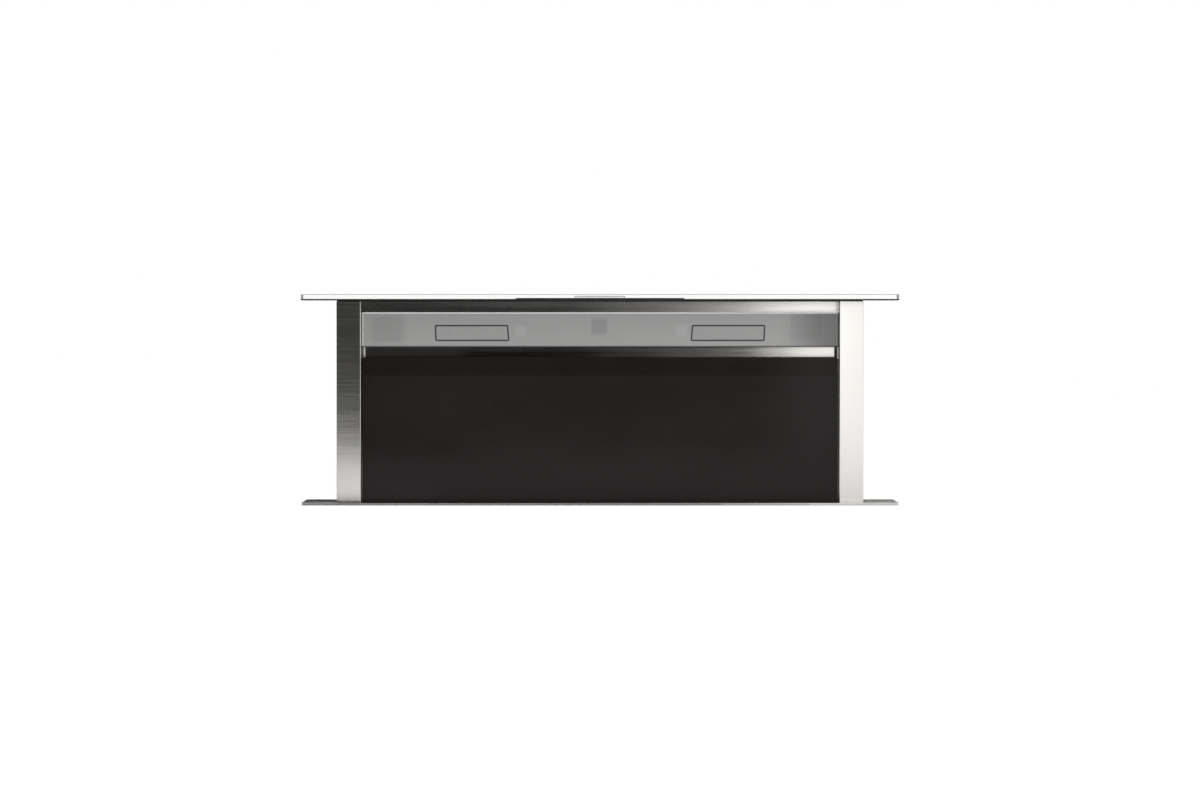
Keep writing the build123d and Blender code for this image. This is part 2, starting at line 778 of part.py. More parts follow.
def lamp_outline(side, grow):
    """Outline of one lamp, a little wider at its foot, grown by grow."""
    top = lamp_mid + lamp_h / 2
    low = lamp_mid - lamp_h / 2
    with BuildSketch(upright(bar_inner)) as outline:
        with BuildLine():
            Polyline(
                (side * lamp_outer_top, top),
                (side * lamp_inner_top, top),
                (side * lamp_inner_bottom, low),
                (side * lamp_outer_bottom, low),
                close=True,
            )
        make_face()
        fillet(outline.vertices(), lamp_corner_r)
        if grow:
            offset(amount=grow)
    return outline.sketch


with BuildPart() as light_bar:
    bar_half = post_inner - bar_side_gap
    block((-bar_half, bar_half), (bar_front, bar_back), (bar_bottom, bar_top))
    fillet(light_bar.edges().filter_by(Axis.Z).group_by(Axis.Y)[0], bar_end_r)
    fillet(light_bar.faces().sort_by(Axis.Y)[0].edges(), bar_edge_r)
    hollow_z = (bar_bottom + bar_sheet, bar_top - bar_sheet)
    wide_x = (bar_sheet - bar_half, bar_half - bar_sheet)
    block(wide_x, (bar_inner + bar_end_r, bar_back), hollow_z, mode=Mode.SUBTRACT)
    deep_x = (bar_end_r - bar_half, bar_half - bar_end_r)
    block(deep_x, (bar_inner, bar_back), hollow_z, mode=Mode.SUBTRACT)
    for side in SIDES:
        extrude(lamp_outline(side, lamp_gap), amount=bar_sheet, mode=Mode.SUBTRACT)
save(light_bar, "light_bar")

lens_seat = bar_front + lens_t
module_back = bar_inner + module_d
with BuildPart() as lamp_modules:
    for side in SIDES:
        module_x = (side * (lamp_outer_top + module_margin), side * (lamp_inner_bottom - module_margin))
        module_z = (lamp_mid - lamp_h / 2 - module_margin, lamp_mid + lamp_h / 2 + module_margin)
        block(module_x, (bar_inner, module_back), module_z)
        extrude(lamp_outline(side, 0), amount=bar_inner - lens_seat, mode=Mode.SUBTRACT)
save(lamp_modules, "lamp_modules")

with BuildPart() as lamp_lenses:
    for side in SIDES:
        extrude(lamp_outline(side, 0), amount=bar_sheet)
        extrude(lamp_outline(side, 0), amount=bar_inner - lens_seat)
save(lamp_lenses, "lamp_lenses")

with BuildPart() as light_bar_brackets:
    bracket_top = bar_top - bracket_z
    bracket_low = bracket_top - bracket_h
    for side in (-1, 0, 1):
        width = bracket_side_w if side else bracket_middle_w
        x = side * bracket_side_x
        bracket_span = (x - width / 2, x + width / 2)
        block(bracket_span, (bar_inner, bar_inner + bracket_sheet), (bracket_low, bracket_top))
        block(bracket_span, (bar_inner, beam_front), (bracket_top - bracket_sheet, bracket_top))
        block(bracket_span, (beam_front - bracket_sheet, beam_front), (bracket_low, bracket_top))
save(light_bar_brackets, "light_bar_brackets")

# ================================================================ tower: cap and controls
housing_half = housing_w / 2
key_x = [key_pitch * (index - (key_count - 1) / 2) for index in range(key_count)]
with BuildPart() as cap:
    with BuildSketch(level(cap_z)):
        RectangleRounded(cap_w, cap_d, cap_corner_r)
    extrude(amount=cap_h)
    fillet(cap.faces().sort_by(Axis.Z)[-1].edges(), cap_edge_r)
    with BuildSketch(level(cap_z)):
        RectangleRounded(cap_w - 2 * cap_sheet, cap_d - 2 * cap_sheet, cap_corner_r - cap_sheet)
    extrude(amount=cap_h - cap_sheet, mode=Mode.SUBTRACT)
    block((-notch_w / 2, notch_w / 2), (cap_front, lip_inner), (cap_z, notch_top), mode=Mode.SUBTRACT)
    window_z = (notch_top, notch_top + window_h)
    block((-window_w / 2, window_w / 2), (cap_front, lip_inner), window_z, mode=Mode.SUBTRACT)
    for x in key_x:
        rod_along_z(x, key_y, (cap_inner_top, cap_top), key_r + key_hole_clear, mode=Mode.SUBTRACT)
save(cap, "cap")

cap_screw_spots = [(side * cap_screw_x, y) for side in SIDES for y in (-cap_screw_y, cap_screw_y)]
cap_screw_heads = [(x, y, (cap_z + base_top) / 2) for x, y in cap_screw_spots]
with BuildPart() as cap_base_plate:
    with BuildSketch(level(cap_z)):
        plate_inset = 2 * (cap_sheet + base_clear)
        RectangleRounded(cap_w - plate_inset, cap_d - plate_inset, cap_corner_r - cap_sheet - base_clear)
        with Locations(*[(x, beam_screw_y) for x in beam_screw_x]):
            Circle(screw_r, mode=Mode.SUBTRACT)
    extrude(amount=base_sheet)
    with Locations(*cap_screw_heads):
        Cone(cap_screw_head_r, cap_screw_r, base_sheet, mode=Mode.SUBTRACT)
save(cap_base_plate, "cap_base_plate")

with BuildPart() as cap_gasket:
    with BuildSketch(level(tower_top)):
        with Locations((0, tower_mid)):
            Rectangle(tower_w - 2 * gasket_inset, tower_d - 2 * gasket_inset)
        with Locations(*[(x, beam_screw_y) for x in beam_screw_x]):
            Circle(screw_r, mode=Mode.SUBTRACT)
    extrude(amount=gasket_t)
save(cap_gasket, "cap_gasket")

with BuildPart() as tower_screws:
    for x, y in cap_screw_spots:
        rod_along_z(x, y, (cap_z, cap_inner_top), cap_screw_r)
    with Locations(*cap_screw_heads):
        Cone(cap_screw_head_r, cap_screw_r, base_sheet)
    for x in beam_screw_x:
        beam_seat = tower_top - rear_sheet
        rod_along_z(x, beam_screw_y, (beam_seat, base_top + beam_screw_reach), screw_r)
        rod_along_z(x, beam_screw_y, (beam_seat - screw_head_h, beam_seat), screw_head_r)
save(tower_screws, "tower_screws")

nose_front = cap_front + window_clear
with BuildPart() as control_housing:
    block((-housing_half, housing_half), (housing_front, housing_back), (base_top, cap_inner_top))
    nose_z = (base_top, notch_top - housing_clear)
    block((-housing_half, housing_half), (nose_front, housing_front), nose_z)
    cavity_x = (housing_wall - housing_half, housing_half - housing_wall)
    cavity_y = (housing_front + housing_wall, housing_back - housing_wall)
    block(cavity_x, cavity_y, (base_top, housing_ceiling), mode=Mode.SUBTRACT)
    for x in key_x:
        well_z = (housing_ceiling, cap_inner_top)
        rod_along_z(x, key_y, well_z, key_r + key_hole_clear, mode=Mode.SUBTRACT)
save(control_housing, "control_housing")

with BuildPart() as control_board:
    board_x = (cavity_x[0] + board_clear, cavity_x[1] - board_clear)
    board_y = (cavity_y[0] + board_clear, cavity_y[1] - board_clear)
    board_top = base_top + board_t
    block(board_x, board_y, (base_top, board_top))
    for x in key_x:
        rod_along_z(x, key_y, (board_top, board_top + dome_t), dome_r)
save(control_board, "control_board")

with BuildPart() as status_window:
    window_half = window_w / 2 - window_clear
    pane_z = (notch_top, notch_top + window_h - window_clear)
    block((-window_half, window_half), (cap_front, housing_front), pane_z)
save(status_window, "status_window")

for number, x in enumerate(key_x, start=1):
    with BuildPart() as key:
        rod_along_z(x, key_y, (key_bottom, cap_top), key_r)
        fillet(key.faces().sort_by(Axis.Z)[-1].edges(), key_edge_r)
        flange_z = (key_bottom, key_bottom + key_flange_h)
        rod_along_z(x, key_y, flange_z, key_flange_r)
    save(key, f"key_{number}")

# ================================================================ tower: filters
with BuildPart() as filter_rails:
    top_y = (flange_front, rear_inner - rear_bend_r)
    flange_y = (rail_flange_y, rail_flange_y + rail_sheet)
    rail_x = (-rail_half, rail_half)
    block(rail_x, top_y, (rail_top_z - rail_sheet, rail_top_z))
    block((-flat_half, flat_half), (top_y[1], rear_inner), (rail_top_z - rail_sheet, rail_top_z))
    block(rail_x, flange_y, (rail_top_z - rail_flange_h, rail_top_z))
    block(rail_x, (flange_front, flange_y[1]), (rail_seat_z - rail_sheet, rail_seat_z))
    block(rail_x, flange_y, (rail_seat_z - rail_sheet, rail_seat_z + rail_flange_h))
save(filter_rails, "filter_rails")

filter_outer = rail_half - filter_clear
for side, name in ((-1, "left_filter"), (1, "right_filter")):
    with BuildPart() as grease_filter:
        frame_x = (side * filter_clear / 2, side * filter_outer)
        frame_z = (filter_bottom, filter_top)
        block(frame_x, (filter_front, filter_back), frame_z)
        mesh_x = (side * (filter_clear / 2 + filter_border), side * (filter_outer - filter_border))
        mesh_z = (filter_bottom + filter_border, filter_top - filter_border)
        front_rebate = (filter_front, filter_front + (filter_t - filter_mesh_t) / 2)
        back_rebate = (filter_back - (filter_t - filter_mesh_t) / 2, filter_back)
        block(mesh_x, front_rebate, mesh_z, mode=Mode.SUBTRACT)
        block(mesh_x, back_rebate, mesh_z, mode=Mode.SUBTRACT)
        tab_mid = side * filter_outer / 2
        tab_top = filter_top - (filter_border - tab_h) / 2
        tab_x = (tab_mid - tab_w / 2, tab_mid + tab_w / 2)
        block(tab_x, (filter_front - tab_d, filter_front), (tab_top - tab_h, tab_top))
    save(grease_filter, name)

# ================================================================ tower: shoes and clamps
with BuildPart() as glide_shoes:
    for side in SIDES:
        for low in (foot_z + shoe_foot, foot_z + shoe_foot + shoe_pitch):
            shoe_x = (side * post_outer, side * shoe_outer)
            block(shoe_x, (rod_y - shoe_w / 2, rod_y + shoe_w / 2), (low, low + shoe_h))
            bore_r = rod_r + running_fit
            rod_along_z(side * rod_x, rod_y, (low, low + shoe_h), bore_r, mode=Mode.SUBTRACT)
save(glide_shoes, "glide_shoes")

with BuildPart() as belt_clamps:
    for side in SIDES:
        clamp_z = (foot_z + clamp_foot, foot_z + clamp_foot + clamp_h)
        clamp_x = (side * post_outer, side * clamp_outer)
        block(clamp_x, (clamp_front, clamp_back), clamp_z)
        slot_x = (side * pulley_x - belt_w / 2 - clamp_play, side * pulley_x + belt_w / 2 + clamp_play)
        slot_y = (belt_y - belt_outer_r - clamp_play, belt_y - belt_inner_r + clamp_play)
        block(slot_x, slot_y, clamp_z, mode=Mode.SUBTRACT)
save(belt_clamps, "belt_clamps")

# ================================================================ front panel
with BuildPart() as front_glass:
    block((-glass_half, glass_half), (glass_front, glass_back), (glass_bottom, glass_top))
    fillet(front_glass.edges().filter_by(Axis.Y).group_by(Axis.Z)[-1], glass_corner_r)
save(front_glass, "front_glass")

with BuildPart() as panel_carriers:
    carrier_low = glass_bottom + carrier_lift
    for side in SIDES:
        carrier_x = (side * (carrier_outer - carrier_w), side * carrier_outer)
        block(carrier_x, (glass_back, carrier_back), (carrier_low, carrier_low + carrier_h))
        pin_x = (side * carrier_outer, side * (post_inner + hinge_pin_reach))
        rod_along_x(pin_x, hinge_y, hinge_z, hinge_pin_r)
save(panel_carriers, "panel_carriers")

# ================================================================ turning drive pieces
with BuildPart() as lift_shaft:
    shaft_end = cassette_inner - side_play
    rod_along_x((-shaft_end, shaft_end), belt_y, shaft_z, shaft_r)
save(lift_shaft, "lift_shaft")


def flanged_pulley(side, z, bore):
    """Flat belt pulley with two flanges and a bore, on one side."""
    rod_along_x((side * pulley_inner, side * pulley_outer), belt_y, z, pulley_r)
    rod_along_x((side * pulley_inner, side * (pulley_inner + pulley_flange_t)), belt_y, z, pulley_flange_r)
    rod_along_x((side * (pulley_outer - pulley_flange_t), side * pulley_outer), belt_y, z, pulley_flange_r)
    rod_along_x((side * pulley_inner, side * pulley_outer), belt_y, z, bore, mode=Mode.SUBTRACT)


with BuildPart() as drive_pulleys:
    for side in SIDES:
        flanged_pulley(side, shaft_z, shaft_r)
save(drive_pulleys, "drive_pulleys")

with BuildPart() as idler_pulleys:
    for side in SIDES:
        flanged_pulley(side, idler_z, idler_axle_r + running_fit)
save(idler_pulleys, "idler_pulleys")

# ================================================================ fan wheel
with BuildPart() as impeller:
    rod_along_y(blower_x, (wheel_front, wheel_front + wheel_ring_t), blower_z, wheel_r)
    hub_y = (wheel_front, wheel_front + hub_len)
    rod_along_y(blower_x, hub_y, blower_z, hub_r)
    with BuildSketch(upright(wheel_back - wheel_ring_t / 2)):
        with Locations((blower_x, blower_z)):
            with PolarLocations(blade_mid_r, blade_count):
                Rectangle(blade_len, blade_t, rotation=blade_turn)
    extrude(amount=wheel_w - wheel_ring_t)
    rod_along_y(blower_x, (wheel_back - wheel_ring_t, wheel_back), blower_z, wheel_r)
    eye_y = (wheel_back - wheel_ring_t, wheel_back)
    rod_along_y(blower_x, eye_y, blower_z, wheel_inner_r, mode=Mode.SUBTRACT)
    rod_along_y(blower_x, hub_y, blower_z, fan_shaft_r + running_fit, mode=Mode.SUBTRACT)
save(impeller, "impeller")

# ================================================================ non-return flaps
for facing, name in ((-1, "front_flap"), (1, "rear_flap")):
    with BuildPart() as flap:
        leaf_x = flap_x - flap_offset - flap_t
        with BuildSketch(sideways(leaf_x)):
            with Locations((duct_y, duct_z)):
                Circle(flap_r)
            half = (duct_y + facing * (flap_root - duct_r), duct_z)
            with Locations(half):
                Rectangle(2 * duct_r, 2 * duct_r, mode=Mode.SUBTRACT)
        extrude(amount=flap_t)
        if facing < 0:
            knuckles = ((-front_knuckle_out, -front_knuckle_in), (front_knuckle_in, front_knuckle_out))
        else:
            knuckles = ((knuckle_gap - front_knuckle_in, front_knuckle_in - knuckle_gap),)
        for low, high in knuckles:
            knuckle_z = (duct_z + low, duct_z + high)
            rod_along_z(flap_x, duct_y, knuckle_z, flap_knuckle_r)
            web_y = (duct_y, duct_y + facing * (flap_root + flap_t))
            block((leaf_x, leaf_x + flap_t), web_y, knuckle_z)
            rod_along_z(flap_x, duct_y, knuckle_z, flap_rod_r + running_fit, mode=Mode.SUBTRACT)
    save(flap, name)
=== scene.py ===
"""Downdraft vent in a plain white studio: finishes, fine surface pieces, stage, lights and camera.

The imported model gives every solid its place.  This script gives each solid the finish that the
real piece has, adds the surfaces that are too fine for solids, and sets up the picture.
Lengths are metres unless a name ends in _mm.
"""

from __future__ import annotations

import json
import logging
import math
from dataclasses import dataclass, replace
from enum import Enum

import bmesh
import bpy
import numpy as np
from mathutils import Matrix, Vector

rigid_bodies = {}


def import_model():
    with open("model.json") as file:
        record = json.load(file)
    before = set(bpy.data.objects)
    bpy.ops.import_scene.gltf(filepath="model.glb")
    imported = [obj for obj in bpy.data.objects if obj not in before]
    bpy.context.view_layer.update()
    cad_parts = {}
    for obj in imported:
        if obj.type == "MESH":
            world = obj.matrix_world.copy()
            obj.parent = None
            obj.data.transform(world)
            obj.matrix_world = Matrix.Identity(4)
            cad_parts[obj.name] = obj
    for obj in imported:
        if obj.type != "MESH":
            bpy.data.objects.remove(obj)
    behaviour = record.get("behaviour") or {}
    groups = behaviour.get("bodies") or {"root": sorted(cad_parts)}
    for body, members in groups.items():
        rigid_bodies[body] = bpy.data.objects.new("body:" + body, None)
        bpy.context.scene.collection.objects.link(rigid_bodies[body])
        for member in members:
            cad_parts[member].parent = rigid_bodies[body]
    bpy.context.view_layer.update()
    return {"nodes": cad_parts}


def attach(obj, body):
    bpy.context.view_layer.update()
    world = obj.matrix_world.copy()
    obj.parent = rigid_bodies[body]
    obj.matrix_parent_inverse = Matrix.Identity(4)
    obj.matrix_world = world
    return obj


Tree = bpy.types.NodeTree
Node = bpy.types.Node
Socket = bpy.types.NodeSocket
# Either vertices and faces, or an outline's points and outward normals.
Pair = tuple[np.ndarray, np.ndarray]

LOG = logging.getLogger("vent")
MM = 0.001
METRE_IN_MM = 1000.0
# Vertices closer than this are one; it closes the seams and poles of the pieces.
WELD = 1e-6
# The mix node's colour sockets have no names of their own.
MIX_FACTOR, MIX_FIRST, MIX_SECOND, MIX_RESULT = 0, 6, 7, 2
# Nearly all of a noise texture's values lie between these.
NOISE_LOW, NOISE_HIGH = 0.3, 0.7
NOISE_ROUGHNESS = 0.6
# The longest part of a surface normal on a flat face, and where a bend shows the edge colour in full.
FLAT_FACE, FULL_BEND = 0.996, 0.97
WHITE = (1.0, 1.0, 1.0, 1.0)
# Faces of the cassette that carry beads and rivets.
CASSETTE_FRONT_Y, CASSETTE_REAR_Y = -0.034, 0.050


# ------------------------------------------------------------------ small helpers
def linear(code: str) -> tuple[float, float, float, float]:
    """Turn an sRGB hex code into linear colour.

    Formula: c / 12.92 up to 0.04045, else ((c + 0.055) / 1.055) ** 2.4, for each channel.

    Args:
        code: Six hex digits after a hash sign.

    Returns:
        Linear red, green, blue and an alpha of one.
    """
    raw = np.array([int(code[i : i + 2], 16) for i in (1, 3, 5)]) / 255.0
    value = np.where(raw <= 0.04045, raw / 12.92, ((raw + 0.055) / 1.055) ** 2.4)
    return (float(value[0]), float(value[1]), float(value[2]), 1.0)


def per_metre(size_mm: float) -> float:
    """Texture scale at which one feature is size_mm wide."""
    return METRE_IN_MM / size_mm


def add_node(tree: Tree, kind: str, feeds: dict | None = None, **settings) -> Node:
    """Add one shader node.

    Args:
        tree: Node tree that takes the node.
        kind: Blender's type name of the node.
        feeds: Socket name or number to a value, or to the output socket that feeds it.
        settings: Properties of the node.

    Returns:
        The new node.
    """
    node = tree.nodes.new(kind)
    for name, value in settings.items():
        setattr(node, name, value)
    for socket, value in (feeds or {}).items():
        if isinstance(value, Socket):
            tree.links.new(value, node.inputs[socket])
        else:
            node.inputs[socket].default_value = value
    return node


def spread(tree: Tree, source: Socket, low: float, high: float) -> Socket:
    """Map the useful middle of a noise onto low to high."""
    feeds = {"Value": source, "From Min": NOISE_LOW, "From Max": NOISE_HIGH, "To Min": low, "To Max": high}
    return add_node(tree, "ShaderNodeMapRange", feeds, clamp=True).outputs["Result"]


def combine(tree: Tree, operation: str, first: object, second: object) -> Socket:
    """Join two values, or sockets, by one operation of the maths node."""
    return add_node(tree, "ShaderNodeMath", {0: first, 1: second}, operation=operation).outputs[0]


def blend(tree: Tree, factor: Socket, first: object, second: object) -> Socket:
    """Mix two linear colours, or sockets, by a factor: the first at zero, the second at one."""
    feeds = {MIX_FACTOR: factor, MIX_FIRST: first, MIX_SECOND: second}
    return add_node(tree, "ShaderNodeMix", feeds, data_type="RGBA").outputs[MIX_RESULT]


class Grain(Enum):
    """Direction in which a surface was rubbed or ground."""

    ALONG_X = (1.0, 0.05, 0.0)
    ALONG_Z = (0.0, 0.05, 1.0)


# ------------------------------------------------------------------ finishes
@dataclass(frozen=True)
class Zone:
    """Soft-edged rectangle on an upright face, in metres of object space, that takes another colour."""

    x: float
    z: float
    half_x: float
    half_z: float
    soft_x: float
    soft_z: float
    share: float
    colour: str = "#000000"


@dataclass(frozen=True)
class Finish:
    """Base of all finishes: a colour, a roughness and a pattern that varies both.

    The pattern moves the colour by tint_share of itself and the roughness by uneven, both up and down.
    """

    name: str
    colour: str
    roughness: float
    metallic: float = 0.0
    edge: str = ""
    zones: tuple[Zone, ...] = ()
    tint_share: float = 0.0
    uneven: float = 0.05

    def material(self) -> bpy.types.Material:
        """Build the material once and reuse it afterwards."""
        known = bpy.data.materials.get(self.name)
        if known:
            return known
        made = bpy.data.materials.new(self.name)
        made.use_nodes = True
        tree = made.node_tree
        shader = tree.nodes["Principled BSDF"]
        shader.inputs["Base Color"].default_value = linear(self.colour)
        shader.inputs["Metallic"].default_value = self.metallic
        shader.inputs["Roughness"].default_value = self.roughness
        place = add_node(tree, "ShaderNodeTexCoord").outputs["Object"]
        self.pattern(tree, shader, place)
        if self.edge:
            self.paint_edge_shade_and_highlight(tree, shader)
        if self.zones:
            self.lay_zones(tree, shader, place)
        return made

    def lay_zones(self, tree: Tree, shader: Node, place: Socket) -> None:
        """Blend each zone's colour in.

        Formula: a zone is the product of two smooth steps, one of |x - middle| and one of |z - middle|,
        and replaces its share of the colour.
        """
        axes = add_node(tree, "ShaderNodeSeparateXYZ", {0: place}).outputs
        for zone in self.zones:
            wide = self.window(tree, axes[0], zone.x, zone.half_x, zone.soft_x)
            high = self.window(tree, axes[2], zone.z, zone.half_z, zone.soft_z)
            part = combine(tree, "MULTIPLY", combine(tree, "MULTIPLY", wide, high), zone.share)
            self.overlay(tree, shader, part, linear(zone.colour))

    def paint_edge_shade_and_highlight(self, tree: Tree, shader: Node) -> None:
        """Paint bends and rounded corners in the edge colour, as painted shade or painted highlight.

        Formula: a smooth step of max(|nx|, |ny|, |nz|) of the surface normal, zero at FLAT_FACE and above
        and one at FULL_BEND and below, where the sheet turns.
        """
        normal = add_node(tree, "ShaderNodeTexCoord").outputs["Normal"]
        size = add_node(tree, "ShaderNodeVectorMath", {0: normal}, operation="ABSOLUTE").outputs[0]
        axes = add_node(tree, "ShaderNodeSeparateXYZ", {0: size}).outputs
        most = combine(tree, "MAXIMUM", combine(tree, "MAXIMUM", axes[0], axes[1]), axes[2])
        feeds = {"Value": most, "From Min": FLAT_FACE, "From Max": FULL_BEND}
        share = add_node(tree, "ShaderNodeMapRange", feeds, interpolation_type="SMOOTHSTEP").outputs[0]
        self.overlay(tree, shader, share, linear(self.edge))

    def window(self, tree: Tree, value: Socket, middle: float, half: float, soft: float) -> Socket:
        """One within half of the middle, zero beyond half + soft, with a smooth step between."""
        away = combine(tree, "SUBTRACT", value, middle)
        far = add_node(tree, "ShaderNodeMath", {0: away}, operation="ABSOLUTE").outputs[0]
        feeds = {"Value": far, "From Min": half + soft, "From Max": half}
        return add_node(tree, "ShaderNodeMapRange", feeds, interpolation_type="SMOOTHSTEP").outputs[0]

    def overlay(self, tree: Tree, shader: Node, share: Socket, colour: object) -> None:
        """Lay another colour over the base colour by a share from zero to one."""
        socket = shader.inputs["Base Color"]
        base = socket.links[0].from_socket if socket.links else linear(self.colour)
        tree.links.new(blend(tree, share, base, colour), socket)

    def noise(self, tree: Tree, place: Socket, size_mm: tuple[float, ...], detail: float) -> Socket:
        """Soft noise whose features are size_mm long on each axis.

        Args:
            tree: Node tree of the material.
            place: Object coordinates.
            size_mm: Feature size along X, Y and Z.
            detail: Octaves of finer noise.

        Returns:
            The noise's value socket.
        """
        scale = tuple(per_metre(size) for size in size_mm)
        scaled = add_node(tree, "ShaderNodeMapping", {"Vector": place, "Scale": scale}).outputs[0]
        feeds = {"Vector": scaled, "Scale": 1.0, "Detail": detail, "Roughness": NOISE_ROUGHNESS}
        return add_node(tree, "ShaderNodeTexNoise", feeds).outputs[0]

    def bump(self, tree: Tree, shader: Node, height: Socket, depth_mm: float) -> None:
        """Raise the surface by a height socket times depth_mm."""
        feeds = {"Height": height, "Distance": depth_mm * MM, "Strength": 1.0}
        raised = add_node(tree, "ShaderNodeBump", feeds)
        tree.links.new(raised.outputs[0], shader.inputs["Normal"])

    def shade(self, factor: float) -> tuple[float, ...]:
        """The base colour, made brighter or darker by a factor."""
        return tuple(np.clip(np.array(linear(self.colour)[:3]) * factor, 0, 1)) + (1.0,)

    def tint(self, tree: Tree, shader: Node, factor: Socket) -> None:
        """Vary the base colour's brightness by plus or minus tint_share."""
        low, high = self.shade(1 - self.tint_share), self.shade(1 + self.tint_share)
        tree.links.new(blend(tree, spread(tree, factor, 0, 1), low, high), shader.inputs["Base Color"])

    def dull(self, tree: Tree, shader: Node, factor: Socket) -> None:
        """Vary the roughness by plus or minus uneven."""
        rough = spread(tree, factor, self.roughness - self.uneven, self.roughness + self.uneven)
        tree.links.new(rough, shader.inputs["Roughness"])

    def pattern(self, tree: Tree, shader: Node, place: Socket) -> None:
        """Lay the finish's own pattern on the shader."""
        raise NotImplementedError


@dataclass(frozen=True)
class BrushedSteel(Finish):
    """Stainless sheet rubbed with an abrasive belt: long fine lines and a drawn-out reflection."""

    grain: Grain = Grain.ALONG_X
    line_mm: float = 1.6
    length_mm: float = 90.0
    line_depth_mm: float = 0.0018
    cloud_mm: float = 160.0
    cloud_uneven: float = 0.015
    anisotropy: float = 0.5
    quarter_turn: float = 0.25
    tint_share: float = 0.03
    uneven: float = 0.03

    def pattern(self, tree: Tree, shader: Node, place: Socket) -> None:
        """Lines drawn coarser than the real 0.2 mm so that they show at this distance."""
        along = self.grain is Grain.ALONG_X
        size = (self.length_mm, self.line_mm, self.line_mm) if along else (self.line_mm, self.line_mm, self.length_mm)
        lines = self.noise(tree, place, size, detail=3.0)
        clouds = self.noise(tree, place, (self.cloud_mm,) * 3, detail=1.0)
        self.tint(tree, shader, lines)
        rough = spread(tree, lines, self.roughness - self.uneven, self.roughness + self.uneven)
        patchy = spread(tree, clouds, -self.cloud_uneven, self.cloud_uneven)
        tree.links.new(combine(tree, "ADD", rough, patchy), shader.inputs["Roughness"])
        self.bump(tree, shader, lines, self.line_depth_mm)
        shader.inputs["Anisotropic"].default_value = self.anisotropy
        shader.inputs["Anisotropic Rotation"].default_value = self.quarter_turn
        axis = dict(zip("XYZ", self.grain.value))
        tangent = add_node(tree, "ShaderNodeCombineXYZ", axis).outputs[0]
        tree.links.new(tangent, shader.inputs["Tangent"])


@dataclass(frozen=True)
class BlastedSteel(Finish):
    """Bead-blasted sheet under clear lacquer: an even, chalky satin without direction."""

    dimple_mm: float = 0.8
    dimple_depth_mm: float = 0.01
    cloud_mm: tuple[float, ...] = (120.0, 60.0, 60.0)
    gloss: float = 0.2
    tint_share: float = 0.012

    def pattern(self, tree: Tree, shader: Node, place: Socket) -> None:
        """Fine dimples, drawn at about three times the real bead mark, and a faint cloudiness."""
        dimples = self.noise(tree, place, (self.dimple_mm,) * 3, detail=1.0)
        clouds = self.noise(tree, place, self.cloud_mm, detail=2.0)
        self.tint(tree, shader, clouds)
        self.dull(tree, shader, dimples)
        self.bump(tree, shader, dimples, self.dimple_depth_mm)
        shader.inputs["Specular IOR Level"].default_value = self.gloss


@dataclass(frozen=True)
class Galvanised(Finish):
    """Hot-dip zinc on steel sheet: flat crystals of many greys, each with its own gloss."""

    crystal_mm: float = 9.0
    darkest: float = 0.86
    lightest: float = 1.12
    bend_mm: float = 6.0
    shift_mm: float = 0.8
    frost_mm: float = 1.2
    frost_depth_mm: float = 0.01
    uneven: float = 0.07

    def pattern(self, tree: Tree, shader: Node, place: Socket) -> None:
        """Crystals from a cell pattern bent by noise, with fine frost inside them."""
        bend = self.noise(tree, place, (self.bend_mm,) * 3, detail=2.0)
        feeds = {0: place, 1: self.offset(tree, bend)}
        moved = add_node(tree, "ShaderNodeVectorMath", feeds, operation="ADD").outputs[0]
        feeds = {"Vector": moved, "Scale": per_metre(self.crystal_mm)}
        cells = add_node(tree, "ShaderNodeTexVoronoi", feeds).outputs["Color"]
        grey = add_node(tree, "ShaderNodeSeparateColor", {0: cells})
        frost = self.noise(tree, place, (self.frost_mm,) * 3, detail=3.0)
        mixed = blend(tree, grey.outputs[0], self.shade(self.darkest), self.shade(self.lightest))
        tree.links.new(mixed, shader.inputs["Base Color"])
        low, high = self.roughness - self.uneven, self.roughness + self.uneven
        feeds = {"Value": grey.outputs[1], "To Min": low, "To Max": high}
        tree.links.new(add_node(tree, "ShaderNodeMapRange", feeds).outputs[0], shader.inputs["Roughness"])
        self.bump(tree, shader, frost, self.frost_depth_mm)

    def offset(self, tree: Tree, bend: Socket) -> Socket:
        """Turn a noise value into a small shift of the crystals' edges."""
        amount = spread(tree, bend, -self.shift_mm * MM, self.shift_mm * MM)
        return add_node(tree, "ShaderNodeCombineXYZ", {0: amount, 1: amount, 2: amount}).outputs[0]


@dataclass(frozen=True)
class Moulded(Finish):
    """Injection-moulded plastic: a fine spark-eroded grain and soft highlights."""

    grain_mm: float = 0.7
    depth_mm: float = 0.02
    flow_mm: float = 40.0
    tint_share: float = 0.06

    def pattern(self, tree: Tree, shader: Node, place: Socket) -> None:
        """Grain drawn at about twice its real size, with slow variation of the gloss."""
        grain = self.noise(tree, place, (self.grain_mm,) * 3, detail=2.0)
        flow = self.noise(tree, place, (self.flow_mm,) * 3, detail=2.0)
        self.tint(tree, shader, flow)
        self.dull(tree, shader, flow)
        self.bump(tree, shader, grain, self.depth_mm)


@dataclass(frozen=True)
class CastMetal(Finish):
    """Die-cast metal: a pebbly skin with shiny high spots."""

    pebble_mm: float = 1.8
    depth_mm: float = 0.06
    stain_mm: float = 18.0
    tint_share: float = 0.12
    uneven: float = -0.08

    def pattern(self, tree: Tree, shader: Node, place: Socket) -> None:
        """Pebbles and the stains of the die; uneven is negative, so the pebbles' tops shine."""
        pebbles = self.noise(tree, place, (self.pebble_mm,) * 3, detail=3.0)
        stains = self.noise(tree, place, (self.stain_mm,) * 3, detail=3.0)
        self.tint(tree, shader, stains)
        self.dull(tree, shader, pebbles)
        self.bump(tree, shader, pebbles, self.depth_mm)


